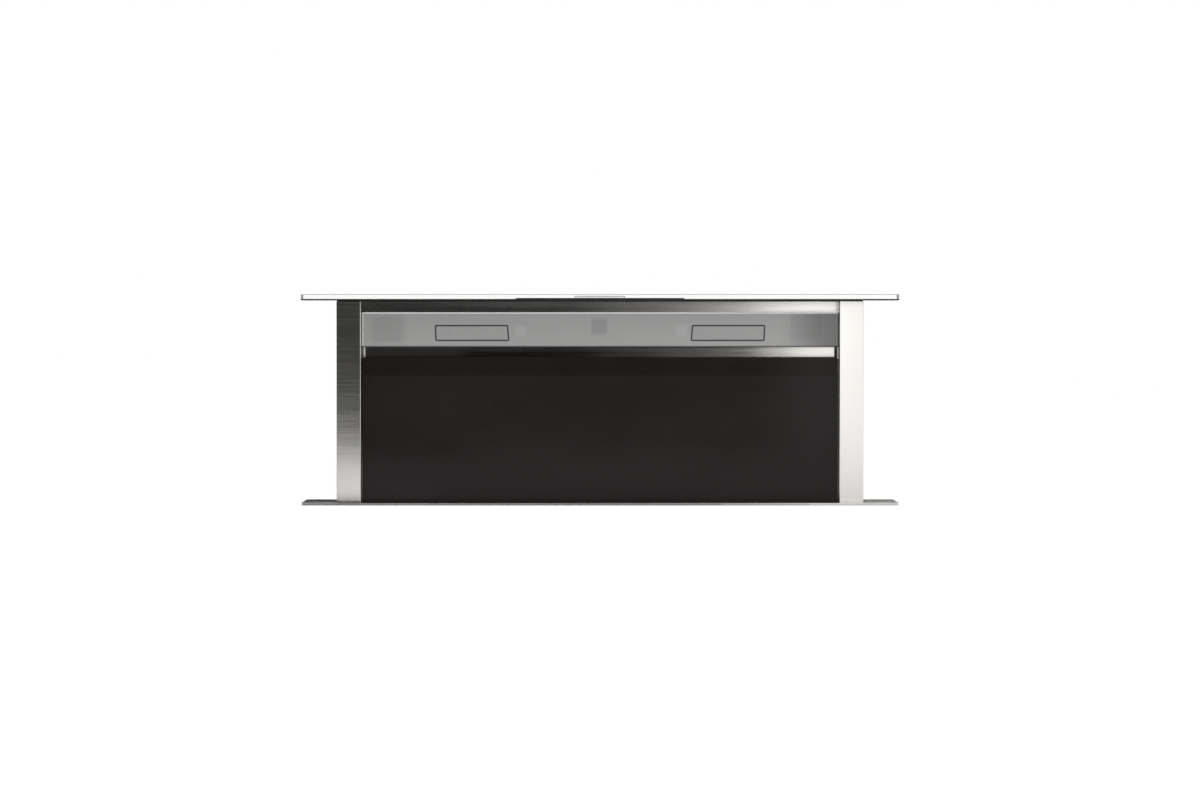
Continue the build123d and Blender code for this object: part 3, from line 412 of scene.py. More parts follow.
@dataclass(frozen=True)
class GroundSteel(Finish):
    """Bar stock ground round: fine rings across its length."""

    grain: Grain = Grain.ALONG_Z
    ring_mm: float = 0.6
    around_mm: float = 30.0
    ring_depth_mm: float = 0.005
    grease_mm: float = 25.0
    smoother: float = 0.06
    rougher: float = 0.08
    tint_share: float = 0.08

    def pattern(self, tree: Tree, shader: Node, place: Socket) -> None:
        """Rings drawn at about four times the real grinding pitch, and a film of grease in patches."""
        size = (self.around_mm, self.around_mm, self.ring_mm)
        rings = self.noise(tree, place, size if self.grain is Grain.ALONG_Z else size[::-1], detail=2.0)
        grease = self.noise(tree, place, (self.grease_mm,) * 3, detail=3.0)
        self.tint(tree, shader, grease)
        rough = spread(tree, rings, self.roughness - self.smoother, self.roughness + self.rougher)
        tree.links.new(rough, shader.inputs["Roughness"])
        self.bump(tree, shader, rings, self.ring_depth_mm)


@dataclass(frozen=True)
class TintedGlass(Finish):
    """Toughened glass, back-coated near-black: deep, even and almost without reflection."""

    tone_mm: tuple[float, ...] = (260.0, 100.0, 110.0)
    wipe_mm: tuple[float, ...] = (45.0, 12.0, 22.0)
    gloss: float = 0.1
    smoother: float = 0.03
    rougher: float = 0.05
    tint_share: float = 0.09

    def pattern(self, tree: Tree, shader: Node, place: Socket) -> None:
        """Very slow change of tone from the coating, and faint wiping marks in the gloss."""
        tone = self.noise(tree, place, self.tone_mm, detail=1.0)
        wipes = self.noise(tree, place, self.wipe_mm, detail=3.0)
        self.tint(tree, shader, tone)
        rough = spread(tree, wipes, self.roughness - self.smoother, self.roughness + self.rougher)
        tree.links.new(rough, shader.inputs["Roughness"])
        shader.inputs["Specular IOR Level"].default_value = self.gloss


@dataclass(frozen=True)
class Lens(Finish):
    """Frosted acrylic in front of light diodes: milky, with a soft sheen."""

    prism_mm: tuple[float, ...] = (1.6, 4.0, 30.0)
    tint_share: float = 0.02
    uneven: float = 0.04

    def pattern(self, tree: Tree, shader: Node, place: Socket) -> None:
        """Fine prisms pressed in the back, seen as faint upright lines."""
        prisms = self.noise(tree, place, self.prism_mm, detail=1.0)
        self.tint(tree, shader, prisms)
        self.dull(tree, shader, prisms)


@dataclass(frozen=True)
class Board(Finish):
    """Glass-fibre circuit board under green solder mask: copper tracks show through."""

    track_mm: float = 2.5
    depth_mm: float = 0.03
    tint_share: float = 0.3

    def pattern(self, tree: Tree, shader: Node, place: Socket) -> None:
        """Tracks from a square cell pattern, a little lighter and raised."""
        feeds = {"Vector": place, "Scale": per_metre(self.track_mm)}
        cells = add_node(tree, "ShaderNodeTexVoronoi", feeds, distance="MANHATTAN").outputs["Distance"]
        self.tint(tree, shader, cells)
        self.bump(tree, shader, cells, self.depth_mm)


# Sheet of grade 304 stainless, rubbed along its length.
BRUSHED = BrushedSteel("stainless_brushed", "#DEDCD8", 0.22, 1.0)
# The rear panel had a finer belt, so its bent flanges give a sharper bright strip; its base colour is darker than the
# other brushed sheet, a painted shade for the recess behind the bar.
BRUSHED_FINE_SHADED = BrushedSteel("stainless_brushed_fine_shaded", "#CCCAC6", 0.155, 1.0)
# The cap's lower edge is folded back on itself; its shade is painted: a dark grey painted-shade line over a black
# painted shadow line.
CAP_PAINTED_SHADE = (
    Zone(0.0, 0.2941, 0.5, 0.0099, 0.1, 0.0002, 1.0, "#4A4A4A"),
    Zone(0.0, 0.2929, 0.5, 0.0099, 0.1, 0.0002, 1.0, "#060606"),
)
# Dull clouds lie in front of the three brackets behind the bar, with two light clouds beside the middle one;
# painted shade darkens the bar's right end; a painted highlight lies on the upper fold and a painted shadow on the
# lower fold.
BAR_CLOUDS_AND_PAINTED_LIGHT = (
    Zone(-0.316, 0.2590, 0.015, 0.014, 0.020, 0.012, 0.17),
    Zone(-0.001, 0.2632, 0.0095, 0.0080, 0.004, 0.007, 0.20),
    Zone(0.306, 0.2620, 0.021, 0.013, 0.004, 0.010, 0.10),
    Zone(0.420, 0.2590, 0.076, 0.060, 0.086, 0.010, 0.50),
    Zone(-0.1177, 0.2573, 0.006, 0.006, 0.004, 0.004, 0.05, "#FFFFFF"),
    Zone(0.1209, 0.2573, 0.006, 0.006, 0.004, 0.004, 0.05, "#FFFFFF"),
    Zone(0.0, 0.2852, 0.400, 0.0022, 0.001, 0.0005, 1.0, "#FFFFFF"),
    Zone(0.0, 0.2325, 0.400, 0.0019, 0.001, 0.0006, 0.80),
)
# A darker, brownish band runs along the glass's upper edge.
GLASS_ZONES = (Zone(0.0, 0.2050, 0.352, 0.0130, 0.001, 0.0030, 0.6, "#1A1410"),)
# The cap's bends and rounded corners take the darker edge colour: painted shade.
BLASTED = BlastedSteel("stainless_bead_blasted", "#F4F4F2", 0.65, 0.03, edge="#979796", zones=CAP_PAINTED_SHADE)
SEAL = Moulded("silicone_seal_dark", "#3C3C3C", 0.6, grain_mm=0.5, depth_mm=0.01)
FRAME_LINE = Moulded("acrylic_window_rim", "#868685", 0.4, grain_mm=0.5, depth_mm=0.005)
# The bar's bends and folds take the lighter edge colour: painted highlight.
SATIN_BAR = BrushedSteel(
    "stainless_satin_short_grain", "#9C9C9B", 0.5, 0.1, edge="#D2D2D0", zones=BAR_CLOUDS_AND_PAINTED_LIGHT,
    line_mm=2.2, length_mm=140.0, anisotropy=0.3,
)
ZINC_SHEET = Galvanised("steel_galvanised", "#A9ADAE", 0.42, 0.9)
BLACK_GLASS = TintedGlass("glass_black_coated", "#232120", 0.14, zones=GLASS_ZONES)
BLACK_ABS = Moulded("abs_black_moulded", "#1B1B1C", 0.42)
GREY_ABS = Moulded("abs_grey_moulded", "#77797B", 0.5)
NYLON = Moulded("nylon_dark_moulded", "#2A2B2D", 0.5, grain_mm=1.0)
ACETAL = Moulded("acetal_natural_turned", "#E4E2DA", 0.38, grain_mm=1.2, depth_mm=0.01)
KEY_PLASTIC = Moulded("polycarbonate_key_moulded", "#C9CACB", 0.35, grain_mm=0.5)
RUBBER = Moulded("epdm_rubber_extruded", "#141414", 0.75, grain_mm=1.5, depth_mm=0.05)
ALUMINIUM = BrushedSteel("aluminium_mill_rolled", "#C4C6C8", 0.38, 1.0, line_mm=1.2, length_mm=40.0, anisotropy=0.3)
# Within its rim each filter frame is painted dark grey, a painted shade for the dark space behind its mesh.
FILTER_PAINTED_SHADE = tuple(Zone(x, 0.105, 0.163, 0.0935, 0.001, 0.001, 1.0, "#4E5052") for x in (-0.17625, 0.17625))
FILTER_FRAME = replace(ALUMINIUM, name="aluminium_filter_frame", zones=FILTER_PAINTED_SHADE)
CAST = CastMetal("aluminium_die_cast", "#9EA1A3", 0.48, 0.9)
GROUND_Z = GroundSteel("steel_ground_upright", "#C8C9CA", 0.22, 1.0)
GROUND_X = GroundSteel("steel_ground_level", "#C8C9CA", 0.22, 1.0, grain=Grain.ALONG_X)
ZINC_SCREW = CastMetal("steel_zinc_plated", "#B9BDC2", 0.3, 1.0, pebble_mm=0.8, depth_mm=0.01)
ENAMEL = Moulded("enamel_sprayed_black", "#232527", 0.32, grain_mm=2.5, depth_mm=0.03)
LAMP_LENS = Lens("acrylic_frosted", "#969695", 0.4)
WINDOW = Lens("acrylic_white_window", "#F2F2F2", 0.15)
BOARD = Board("circuit_board_green", "#1C5A34", 0.4)


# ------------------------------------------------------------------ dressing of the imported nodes
NODE_FINISH: dict[str, Finish] = {
    "trim_frame": BRUSHED,
    "trim_seal": RUBBER,
    "cassette_front_panel": ZINC_SHEET,
    "cassette_rear_panel": ZINC_SHEET,
    "cassette_side_panels": ZINC_SHEET,
    "cassette_bottom_panel": ZINC_SHEET,
    "fixing_brackets": ZINC_SHEET,
    "guide_rods": GROUND_Z,
    "rod_brackets": CAST,
    "lift_belts": RUBBER,
    "idler_axles": GROUND_X,
    "shaft_bearings": ACETAL,
    "lift_gearbox": CAST,
    "lift_motor": ENAMEL,
    "limit_switches": BLACK_ABS,
    "blower_box": ZINC_SHEET,
    "blower_cover": ZINC_SHEET,
    "blower_scroll": ZINC_SHEET,
    "inlet_ring": ZINC_SHEET,
    "motor_bracket": ZINC_SHEET,
    "blower_motor": ENAMEL,
    "outlet_collar": BLACK_ABS,
    "flap_rod": GROUND_Z,
    "control_box": ZINC_SHEET,
    "control_box_lid": ZINC_SHEET,
    "mains_gland": BLACK_ABS,
    "cassette_screws": ZINC_SCREW,
    "left_post": BRUSHED,
    "right_post": BRUSHED,
    "rear_panel": BRUSHED_FINE_SHADED,
    "head_beam": BRUSHED,
    "foot_beam": ZINC_SHEET,
    "light_bar": SATIN_BAR,
    "lamp_modules": BLACK_ABS,
    "lamp_lenses": LAMP_LENS,
    "light_bar_brackets": ZINC_SHEET,
    "cap": BLASTED,
    "cap_base_plate": ENAMEL,
    "cap_gasket": RUBBER,
    "tower_screws": ZINC_SCREW,
    "control_housing": BLACK_ABS,
    "control_board": BOARD,
    "status_window": WINDOW,
    "filter_rails": ZINC_SHEET,
    "left_filter": FILTER_FRAME,
    "right_filter": FILTER_FRAME,
    "glide_shoes": ACETAL,
    "belt_clamps": CAST,
    "front_glass": BLACK_GLASS,
    "panel_carriers": ALUMINIUM,
    "key_1": KEY_PLASTIC,
    "key_2": KEY_PLASTIC,
    "key_3": KEY_PLASTIC,
    "key_4": KEY_PLASTIC,
    "lift_shaft": GROUND_X,
    "drive_pulleys": CAST,
    "idler_pulleys": NYLON,
    "impeller": NYLON,
    "front_flap": GREY_ABS,
    "rear_flap": GREY_ABS,
}


def dress(nodes: dict[str, bpy.types.Object]) -> None:
    """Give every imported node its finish.

    Args:
        nodes: Node name to its object.
    """
    for name, finish in NODE_FINISH.items():
        target = nodes[name]
        if not target.material_slots:
            target.data.materials.append(None)
        for slot in target.material_slots:
            slot.material = finish.material()
        LOG.info("%s: %s", name, finish.name)


# ------------------------------------------------------------------ fine surface pieces
def grid_faces(rows: int, columns: int, closed: bool = False) -> np.ndarray:
    """Quads of a grid of points stored row by row.

    Args:
        rows: Number of rows.
        columns: Points in a row.
        closed: Join the last row to the first.

    Returns:
        Index array with four columns.
    """
    row = np.arange(rows if closed else rows - 1)[:, None]
    column = np.arange(columns - 1)[None, :]
    following = (row + 1) % rows
    corners = [row * columns + column, following * columns + column]
    corners += [following * columns + column + 1, row * columns + column + 1]
    return np.stack([np.broadcast_to(c, (len(row), columns - 1)) for c in corners], axis=-1).reshape(-1, 4)


def turned_to(points: np.ndarray, faces: np.ndarray, facing: int) -> np.ndarray:
    """Reverse all faces if they look away from the given side along Y.

    Formula: the sum of the cross products of the faces' diagonals has the sign of their common side.

    Args:
        points: Vertex positions.
        faces: Quads that all look to the same side.
        facing: -1 or 1, the side along Y that they should look to.

    Returns:
        The faces in the right order.
    """
    corner = points[faces]
    across = np.cross(corner[:, 2] - corner[:, 0], corner[:, 3] - corner[:, 1])
    return faces if across[:, 1].sum() * facing > 0 else faces[:, ::-1]


def joined(parts: list[Pair]) -> Pair:
    """Put several meshes of vertices and faces into one."""
    starts = np.cumsum([0] + [len(points) for points, _ in parts[:-1]])
    points = np.concatenate([points for points, _ in parts])
    return points, np.concatenate([faces + start for (_, faces), start in zip(parts, starts)])


def box_outline(left: float, right: float, low: float, high: float, radius: float, steps: int = 10) -> Pair:
    """Rounded rectangle in X and Z as points and outward normals."""
    return rounded_outline(np.array([(left, low), (right, low), (right, high), (left, high)]), radius, steps)


def ring_outline(x: float, z: float, radius: float, steps: int = 96) -> Pair:
    """Circle in X and Z as points and outward normals."""
    angle = np.arange(steps) * (2 * math.pi / steps)
    normal = np.stack([np.cos(angle), np.sin(angle)], axis=1)
    return np.array((x, z)) + radius * normal, normal


def piece(name: str, points: np.ndarray, faces: np.ndarray, finish: Finish, body: str, slot: str) -> bpy.types.Object:
    """Make a mesh piece at the origin that rides a body, with its seams and poles closed.

    Args:
        name: Object name.
        points: Vertex positions, one row each.
        faces: Vertex numbers of each face, wound outwards.
        finish: Finish it is given.
        body: Moving body that carries it.
        slot: Material slot of the record that it stands for; not used.

    Returns:
        The object.
    """
    mesh = bpy.data.meshes.new(name)
    mesh.from_pydata(points.reshape(-1, 3).tolist(), [], faces.tolist())
    whole = bmesh.new()
    whole.from_mesh(mesh)
    bmesh.ops.remove_doubles(whole, verts=whole.verts, dist=WELD)
    whole.to_mesh(mesh)
    whole.free()
    mesh.materials.append(finish.material())
    mesh.polygons.foreach_set("use_smooth", np.ones(len(mesh.polygons), dtype=bool))
    made = bpy.data.objects.new(name, mesh)
    bpy.context.scene.collection.objects.link(made)
    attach(made, body)
    LOG.info("%s: %d faces", name, len(faces))
    return made


def rounded_outline(corners: np.ndarray, radius: float, steps: int = 6) -> Pair:
    """Outline of a convex polygon with rounded corners, counter-clockwise.

    Formula: at each corner the arc's centre lies where both sides, moved in by the radius, meet; its points
    are centre + radius * normal, with the normal turning evenly from one side's to the next side's.

    Args:
        corners: Corner points in order, counter-clockwise, two columns.
        radius: Corner radius.
        steps: Points along each corner's arc.

    Returns:
        Points and outward unit normals, two columns each.
    """
    side = np.roll(corners, -1, axis=0) - corners
    side /= np.linalg.norm(side, axis=1, keepdims=True)
    out = np.stack([side[:, 1], -side[:, 0]], axis=1)
    before = np.roll(out, 1, axis=0)
    start = np.arctan2(before[:, 1], before[:, 0])
    turn = (np.arctan2(out[:, 1], out[:, 0]) - start) % (2 * math.pi)
    angle = start[:, None] + turn[:, None] * np.linspace(0, 1, steps)[None, :]
    normal = np.stack([np.cos(angle), np.sin(angle)], axis=-1)
    middle = before + out
    reach = radius / (1 + np.sum(before * out, axis=1))
    centre = corners - middle * reach[:, None]
    return (centre[:, None, :] + radius * normal).reshape(-1, 2), normal.reshape(-1, 2)


@dataclass(frozen=True)
class Bead:
    """Half-round bead that stands on a flat face and follows a closed outline."""

    width: float
    height: float
    steps: int = 8

    def on_face(self, outline: Pair, face_y: float, facing: int = -1) -> Pair:
        """Lay the bead on a face that looks along Y.

        Formula: across the bead, with t from 0 to pi, the point lies width / 2 * cos(t) out from the
        outline and height * sin(t) in front of the face.

        Args:
            outline: Points and outward normals in X and Z.
            face_y: Plane of the face.
            facing: -1 for a face that looks to -Y, 1 for one that looks to +Y.

        Returns:
            Vertices and faces.
        """
        points, normals = outline
        turn = np.linspace(0.0, math.pi, self.steps)
        across = points[:, None, :] + normals[:, None, :] * (self.width / 2 * np.cos(turn))[None, :, None]
        depth = np.broadcast_to(face_y + facing * self.height * np.sin(turn), across.shape[:2])
        vertices = np.stack([across[..., 0], depth, across[..., 1]], axis=-1).reshape(-1, 3)
        return vertices, turned_to(vertices, grid_faces(len(points), self.steps, closed=True), facing)


@dataclass(frozen=True)
class LampSeals:
    """Soft seal around each lamp lens, closing the gap to the light bar."""

    outer_top: float = 0.2438
    inner_top: float = 0.1378
    outer_bottom: float = 0.2430
    inner_bottom: float = 0.1358
    middle_z: float = 0.2537
    half_height: float = 0.0106
    corner_r: float = 0.0015
    grow: float = 0.0004
    face_y: float = -0.0010
    bead: Bead = Bead(0.0023, 0.0004)

    def build(self) -> list[bpy.types.Object]:
        """Make both seals on the light bar."""
        return [self.one(side, name) for side, name in ((-1, "lamp_seal_left"), (1, "lamp_seal_right"))]

    def one(self, side: int, name: str) -> bpy.types.Object:
        """One seal; the right lamp is the left one mirrored."""
        low, high = self.middle_z - self.half_height - self.grow, self.middle_z + self.half_height + self.grow
        corners = np.array([
            (-self.outer_bottom - self.grow, low), (-self.inner_bottom + self.grow, low),
            (-self.inner_top + self.grow, high), (-self.outer_top - self.grow, high),
        ])
        if side > 0:
            corners = (corners * (-1, 1))[::-1]
        points, faces = self.bead.on_face(rounded_outline(corners, self.corner_r), self.face_y)
        return piece(name, points, faces, SEAL, "tower", "rubber")


@dataclass(frozen=True)
class WindowRim:
    """Fine moulded rim around the status window in the cap's front."""

    half_width: float = 0.0367
    low: float = 0.3055
    high: float = 0.3077
    corner_r: float = 0.0003
    face_y: float = -0.0600
    bead: Bead = Bead(0.0008, 0.00015, 6)

    def build(self) -> bpy.types.Object:
        """Make the rim on the cap."""
        outline = box_outline(-self.half_width, self.half_width, self.low, self.high, self.corner_r, 4)
        points, faces = self.bead.on_face(outline, self.face_y)
        return piece("status_window_rim", points, faces, FRAME_LINE, "tower", "black_plastic")


@dataclass(frozen=True)
class PressedBeads:
    """Stiffening beads pressed into the large sheet panels below the worktop."""

    cover_y: float = -0.195
    panel_bead: Bead = Bead(0.009, 0.0022, 9)
    cover_bead: Bead = Bead(0.006, 0.0016, 9)
    slot_height: float = 0.012
    slot_r: float = 0.0059
    inlet: tuple[float, float] = (-0.020, -0.230)

    def build(self) -> list[bpy.types.Object]:
        """Make the beads of the cassette's two faces and of the blower cover.

        A box outline takes its left, right, low and high edge and its corner radius.
        """
        rear = [box_outline(left, left + 0.345, -0.405, -0.055, 0.030) for left in (-0.375, 0.030)]
        rear += [self.slot(left, 0.235, low) for left in (-0.320, 0.085) for low in (-0.31, -0.236, -0.162)]
        front = [box_outline(0.205, 0.390, -0.390, -0.060, 0.020), box_outline(-0.388, -0.195, -0.420, -0.270, 0.020)]
        front += [self.slot(0.250, 0.095, low) for low in (-0.13, -0.18)]
        cover = [box_outline(-0.148, 0.158, -0.372, -0.111, 0.018)]
        cover += [ring_outline(*self.inlet, radius) for radius in (0.058, 0.082, 0.106)]
        return [
            self.group("cassette_rear_beads", rear, CASSETTE_REAR_Y, 1, self.panel_bead),
            self.group("cassette_front_beads", front, CASSETTE_FRONT_Y, -1, self.panel_bead),
            self.group("blower_cover_beads", cover, self.cover_y, -1, self.cover_bead),
        ]

    def slot(self, left: float, width: float, low: float) -> Pair:
        """Outline of a narrow level bead with round ends."""
        return box_outline(left, left + width, low, low + self.slot_height, self.slot_r)

    def group(self, name: str, outlines: list, face_y: float, facing: int, bead: Bead) -> bpy.types.Object:
        """All beads of one face as one piece."""
        points, faces = joined([bead.on_face(outline, face_y, facing) for outline in outlines])
        return piece(name, points, faces, ZINC_SHEET, "cassette", "galvanised")


@dataclass(frozen=True)
class Rivets:
    """Domed rivet heads along the seams of the cassette."""

    radius: float = 0.0032
    height: float = 0.0016
    rings: int = 5
    around: int = 16
    seams_x: tuple[float, float] = (-0.404, 0.404)
    low_z: float = -0.425
    high_z: float = -0.035
    count: int = 8
    covered_z: float = -0.25

    def build(self) -> bpy.types.Object:
        """Make the heads on the rear face and on the front one, but for its left seam above covered_z."""
        heights = np.linspace(self.low_z, self.high_z, self.count)
        seams = [(x, z) for x in self.seams_x for z in heights]
        rear = [self.head(x, CASSETTE_REAR_Y, z, 1) for x, z in seams]
        front = [self.head(x, CASSETTE_FRONT_Y, z, -1) for x, z in seams if x > 0 or z < self.covered_z]
        points, faces = joined(rear + front)
        return piece("cassette_rivets", points, faces, ZINC_SCREW, "cassette", "zinc_screw")

    def head(self, x: float, y: float, z: float, facing: int) -> Pair:
        """One head.

        Formula: at t from 0 to 1 the ring's radius is radius * cos(t * pi / 2) and it stands
        height * sin(t * pi / 2) in front of the face; the last ring is one point.
        """
        lift = np.linspace(0.0, 1.0, self.rings) * math.pi / 2
        angle = np.linspace(0.0, 2 * math.pi, self.around)
        wide = self.radius * np.cos(lift)[:, None]
        depth = np.broadcast_to(y + facing * self.height * np.sin(lift)[:, None], (self.rings, self.around))
        points = np.stack([x + wide * np.cos(angle), depth, z + wide * np.sin(angle)], axis=-1).reshape(-1, 3)
        return points, turned_to(points, grid_faces(self.rings, self.around), facing)


@dataclass(frozen=True)
class FilterMesh:
    """Expanded-metal layers on both faces of the grease filters."""

    inner_x: float = 0.0125
    outer_x: float = 0.3400
    low_z: float = 0.0105
    high_z: float = 0.1995
    layers_y: tuple[float, ...] = (0.0197, 0.0240)
    diamond_w: float = 0.0120
    diamond_h: float = 0.0063
    strand: float = 0.0016
    thick: float = 0.0010

    def build(self) -> list[bpy.types.Object]:
        """Make the layers of the left and the right filter."""
        sides = (("left_filter_mesh", -self.outer_x), ("right_filter_mesh", self.inner_x))
        return [
            piece(name, *joined([self.layer(left, y) for y in self.layers_y]), ALUMINIUM, "tower", "filter_mesh")
            for name, left in sides
        ]

    def layer(self, left: float, y: float) -> Pair:
        """One layer of zigzag strands that touch their neighbours at every turn.

        Formula: strand r passes through x = left + i * width / 2 and z = low + (r + 1 / 2) * height
        plus or minus half the height by the parity of i + r, with a flat four-sided section.

        Args:
            left: Lowest X of the layer.
            y: Its middle plane.

        Returns:
            Vertices and faces.
        """
        count = int((self.outer_x - self.inner_x) / (self.diamond_w / 2)) + 1
        rows = int((self.high_z - self.low_z) / self.diamond_h)
        step, row = np.arange(count)[None, :], np.arange(rows)[:, None]
        x = np.broadcast_to(left + step * self.diamond_w / 2, (rows, count))
        side = np.where((step + row) % 2 == 0, 1.0, -1.0)
        z = self.low_z + (row + 0.5) * self.diamond_h + side * (self.diamond_h - self.strand) / 2
        around = np.array([(0.0, -1.0), (1.0, 0.0), (0.0, 1.0), (-1.0, 0.0), (0.0, -1.0)])
        shape = (rows, count, len(around))
        grid = np.stack([
            np.broadcast_to(x[..., None], shape),
            y + np.broadcast_to(around[:, 0] * self.thick / 2, shape),
            z[..., None] + around[:, 1] * self.strand / 2,
        ], axis=-1)
        faces = grid_faces(count, len(around))[:, ::-1]
        starts = np.arange(rows)[:, None, None] * (count * len(around))
        return grid.reshape(-1, 3), (faces[None] + starts).reshape(-1, 4)


# ------------------------------------------------------------------ stage, lights, camera
@dataclass(frozen=True)
class Studio:
    """White worktop with a cut-out, white floor below it, soft light and the camera."""

    top_half_far: float = 0.455
    top_half_near: float = 0.14
    top_near: float = -4.6
    top_far: float = 0.0605
    hole_half: float = 0.418
    hole_near: float = -0.038
    hole_far: float = 0.054
    floor_z: float = -0.46
    camera_y: float = -6.125
    camera_z: float = 0.2804
    aim_y: float = -0.060
    aim_z: float = 0.1555
    lens_mm: float = 123.8
    sensor_mm: float = 36.0
    clip_end: float = 100.0
    ambient: float = 0.5
    floor_half: float = 30.0
    board_glow: float = 0.92
    board_bounce: float = 0.45
    board_albedo: float = 0.16
    card_front_y: float = -0.9
    lamp_aim: tuple[float, ...] = (0.0, 0.0, 0.1)

    def build(self) -> None:
        """Make stage, world, lights and camera."""
        self.worktop()
        self.floor()
        self.world()
        self.cards()
        self.lamps()
        self.camera()

    def seen_directly(self, tree: Tree) -> Socket:
        """One for camera, glossy and transmission rays, zero for all others."""
        rays = add_node(tree, "ShaderNodeLightPath").outputs
        seen = combine(tree, "MAXIMUM", rays["Is Camera Ray"], rays["Is Glossy Ray"])
        return combine(tree, "MAXIMUM", seen, rays["Is Transmission Ray"])

    def bare(self, owner: bpy.types.Material | bpy.types.World) -> Tree:
        """Empty node tree of a material or a world."""
        owner.use_nodes = True
        owner.node_tree.nodes.clear()
        return owner.node_tree

    def white(self, name: str) -> bpy.types.Material:
        """White stage material: glows to the lens and in reflections, and still takes a soft shadow.

        Camera, glossy and transmission rays see board_glow.  All others see board_bounce, which is
        what a lit white board would return.
        """
        made = bpy.data.materials.new(name)
        tree = self.bare(made)
        feeds = {"Value": self.seen_directly(tree), "To Min": self.board_bounce, "To Max": self.board_glow}
        strength = add_node(tree, "ShaderNodeMapRange", feeds).outputs[0]
        light = add_node(tree, "ShaderNodeEmission", {"Strength": strength}).outputs[0]
        grey = (self.board_albedo,) * 3 + (1.0,)
        matt = add_node(tree, "ShaderNodeBsdfDiffuse", {"Color": grey}).outputs[0]
        both = add_node(tree, "ShaderNodeAddShader", {0: light, 1: matt}).outputs[0]
        add_node(tree, "ShaderNodeOutputMaterial", {"Surface": both})
        return made

    def sheet(
        self, name: str, points: np.ndarray, faces: list[tuple[int, ...]], material: bpy.types.Material
    ) -> bpy.types.Object:
        """Make one flat stage object from points and faces."""
        mesh = bpy.data.meshes.new(name)
        mesh.from_pydata(points.tolist(), [], faces)
        mesh.materials.append(material)
        made = bpy.data.objects.new(name, mesh)
        bpy.context.scene.collection.objects.link(made)
        return made

    def worktop(self) -> None:
        """Flat ring in the plane z = 0, just wide enough to hide what is below it from the camera."""
        outer = [
            (-self.top_half_near, self.top_near), (self.top_half_near, self.top_near),
            (self.top_half_far, self.top_far), (-self.top_half_far, self.top_far),
        ]
        inner = [
            (-self.hole_half, self.hole_near), (self.hole_half, self.hole_near),
            (self.hole_half, self.hole_far), (-self.hole_half, self.hole_far),
        ]
        points = np.array([(x, y, 0.0) for x, y in outer + inner])
        faces = [(i, (i + 1) % 4, 4 + (i + 1) % 4, 4 + i) for i in range(4)]
        self.sheet("worktop", points, faces, self.white("stage_white_top"))

    def floor(self) -> None:
        """Large square below the whole part."""
        around = ((-1, -1), (1, -1), (1, 1), (-1, 1))
        points = np.array([(x * self.floor_half, y * self.floor_half, self.floor_z) for x, y in around])
        self.sheet("floor", points, [(0, 1, 2, 3)], self.white("stage_white_floor"))

    def world(self) -> None:
        """White to the lens and in reflections; a softer white for the matt light."""
        made = bpy.data.worlds.new("studio")
        bpy.context.scene.world = made
        tree = self.bare(made)
        feeds = {"Value": self.seen_directly(tree), "To Min": self.ambient, "To Max": 1.0}
        strength = add_node(tree, "ShaderNodeMapRange", feeds).outputs[0]
        back = add_node(tree, "ShaderNodeBackground", {"Color": WHITE, "Strength": strength}).outputs[0]
        add_node(tree, "ShaderNodeOutputWorld", {"Surface": back})

    def card(self, name: str, corners: list[tuple[float, float, float]], glow: float) -> None:
        """Flat card that shows in reflections alone.

        Args:
            name: Object name.
            corners: Four corners in order.
            glow: Emission strength; zero is a black flag.
        """
        paint = bpy.data.materials.new(name)
        tree = self.bare(paint)
        light = add_node(tree, "ShaderNodeEmission", {"Color": WHITE, "Strength": glow}).outputs[0]
        add_node(tree, "ShaderNodeOutputMaterial", {"Surface": light})
        card = self.sheet(name, np.array(corners), [(0, 1, 2, 3)], paint)
        card.visible_camera = False
        card.visible_diffuse = False
        card.visible_transmission = False
        card.visible_shadow = False
        card.visible_volume_scatter = False

    def upright_card(self, name: str, x: tuple[float, float], y: float, z: tuple[float, float], glow: float) -> None:
        """Card in a plane of constant y, from x[0] to x[1] and z[0] to z[1]."""
        self.card(name, [(x[0], y, z[0]), (x[1], y, z[0]), (x[1], y, z[1]), (x[0], y, z[1])], glow)

    def level_card(self, name: str, x: tuple[float, float], y: tuple[float, float], z: float, glow: float) -> None:
        """Card in a plane of constant z, from x[0] to x[1] and y[0] to y[1]."""
        self.card(name, [(x[0], y[0], z), (x[1], y[0], z), (x[1], y[1], z), (x[0], y[1], z)], glow)

    def side_card(self, name: str, x: float, y: tuple[float, float], z: tuple[float, float], glow: float) -> None:
        """Card in a plane of constant x, from y[0] to y[1] and z[0] to z[1]."""
        self.card(name, [(x, y[0], z[0]), (x, y[1], z[0]), (x, y[1], z[1]), (x, y[0], z[1])], glow)

    def cards(self) -> None:
        """Dark flags at the left, white cards at the right, and low ones at the foot and behind.

        The cards in front stand side by side in one plane and grow from dark to white, because the
        posts, the light bar and the rear panel mirror them.
        """
        low, high = (0.05, 0.245), (0.245, 2.6)
        # Name, left end, right end, height range and glow.
        steps = [
            ("flag_low", -2.6, 0.275, low, 0.0),
            ("card_low_soft", 0.275, 0.33, low, 0.4),
            ("card_low", 0.33, 0.43, low, 1.5),
            ("card_low_far", 0.43, 2.6, low, 1.15),
            ("flag_high", -2.6, 0.0, high, 0.045),
            ("card_high_faint", 0.0, 0.12, high, 0.2),
            ("card_high_dim", 0.12, 0.19, high, 0.42),
            ("card_high_soft", 0.19, 0.27, high, 0.65),
            ("card_high", 0.27, 0.43, high, 1.7),
            ("card_high_far", 0.43, 2.6, high, 1.15),
        ]
        for name, left, right, height, glow in steps:
            self.upright_card(name, (left, right), self.card_front_y, height, glow)
        self.upright_card("flag_left", (-2.6, -0.22), -0.45, (0.052, 2.6), 0.032)
        self.side_card("flag_side", -1.5, (-0.9, 0.4), (0.0, 0.5), 0.02)
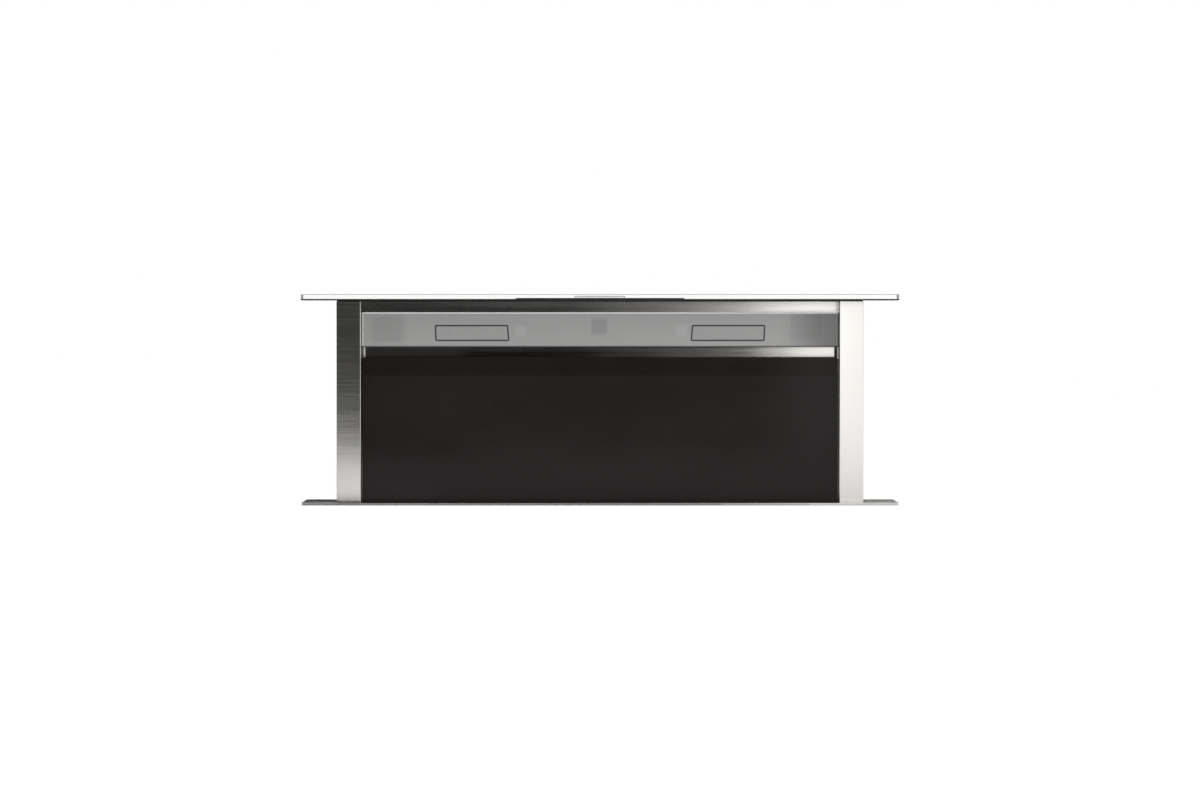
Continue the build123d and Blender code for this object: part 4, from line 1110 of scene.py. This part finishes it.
        # On the worktop in front of the trim, mirrored by its folded edge: left, right and glow.
        strips = [(-0.46, 0.18, 0.04), (0.18, 0.31, 0.26), (0.31, 0.46, 0.52)]
        for number, (left, right, glow) in enumerate(strips):
            self.level_card(f"strip_foot_{number}", (left, right), (-0.105, -0.0605), 0.0006, glow)
        self.level_card("card_foot", (-0.62, -0.25), (-0.6, -0.11), 0.0008, 1.35)
        self.level_card("card_foot_right", (0.25, 0.62), (-0.45, -0.11), 0.0008, 0.82)
        self.level_card("flag_above", (-1.2, 1.2), (-0.8, 0.3), 1.2, 0.1)
        self.upright_card("flag_back_left", (-0.48, -0.392), 0.064, (0.0006, 0.042), 0.0)
        self.upright_card("flag_back_right", (0.392, 0.48), 0.064, (0.0006, 0.03), 0.15)

    def lamps(self) -> None:
        """Broad soft lamps: a key in front, a fill behind and one at each side."""
        self.lamp("key", (0.0, -5.4, 1.0), 2.4, 150.0)
        self.lamp("fill_behind", (-1.2, 4.6, 2.2), 2.4, 100.0)
        self.lamp("fill_left", (-4.4, -0.6, 2.0), 2.0, 50.0)
        self.lamp("fill_right", (4.4, -0.6, 2.0), 2.0, 50.0)

    def lamp(self, name: str, place: tuple[float, float, float], size: float, watts: float) -> None:
        """Square area lamp aimed at the part, not seen in reflections.

        Args:
            name: Object name.
            place: Position of its middle.
            size: Side length.
            watts: Power; a white matt face turned to it shows watts / (pi * distance) ** 2.
        """
        data = bpy.data.lights.new(name, "AREA")
        data.size = size
        data.energy = watts
        made = bpy.data.objects.new(name, data)
        made.location = place
        aim = Vector(self.lamp_aim) - Vector(place)
        made.rotation_euler = aim.to_track_quat("-Z", "Y").to_euler()
        made.visible_glossy = False
        bpy.context.scene.collection.objects.link(made)

    def camera(self) -> None:
        """Camera on the middle line, a little above the part, looking slightly down."""
        data = bpy.data.cameras.new("camera")
        data.sensor_width = self.sensor_mm
        data.lens = self.lens_mm
        data.clip_end = self.clip_end
        made = bpy.data.objects.new("camera", data)
        drop = math.atan2(self.camera_z - self.aim_z, self.aim_y - self.camera_y)
        made.location = (0.0, self.camera_y, self.camera_z)
        made.rotation_euler = (math.pi / 2 - drop, 0.0, 0.0)
        bpy.context.scene.collection.objects.link(made)
        bpy.context.scene.camera = made


def main() -> None:
    """Load the frame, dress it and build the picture."""
    logging.basicConfig(level=logging.INFO, format="%(name)s: %(message)s")
    for left_over in list(bpy.data.objects):
        bpy.data.objects.remove(left_over)
    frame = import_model()
    dress(frame["nodes"])
    for group in (LampSeals(), WindowRim(), PressedBeads(), Rivets(), FilterMesh()):
        group.build()
    Studio().build()
    scene = bpy.context.scene
    scene.view_settings.view_transform = "Standard"


if __name__ == "__main__":
    main()
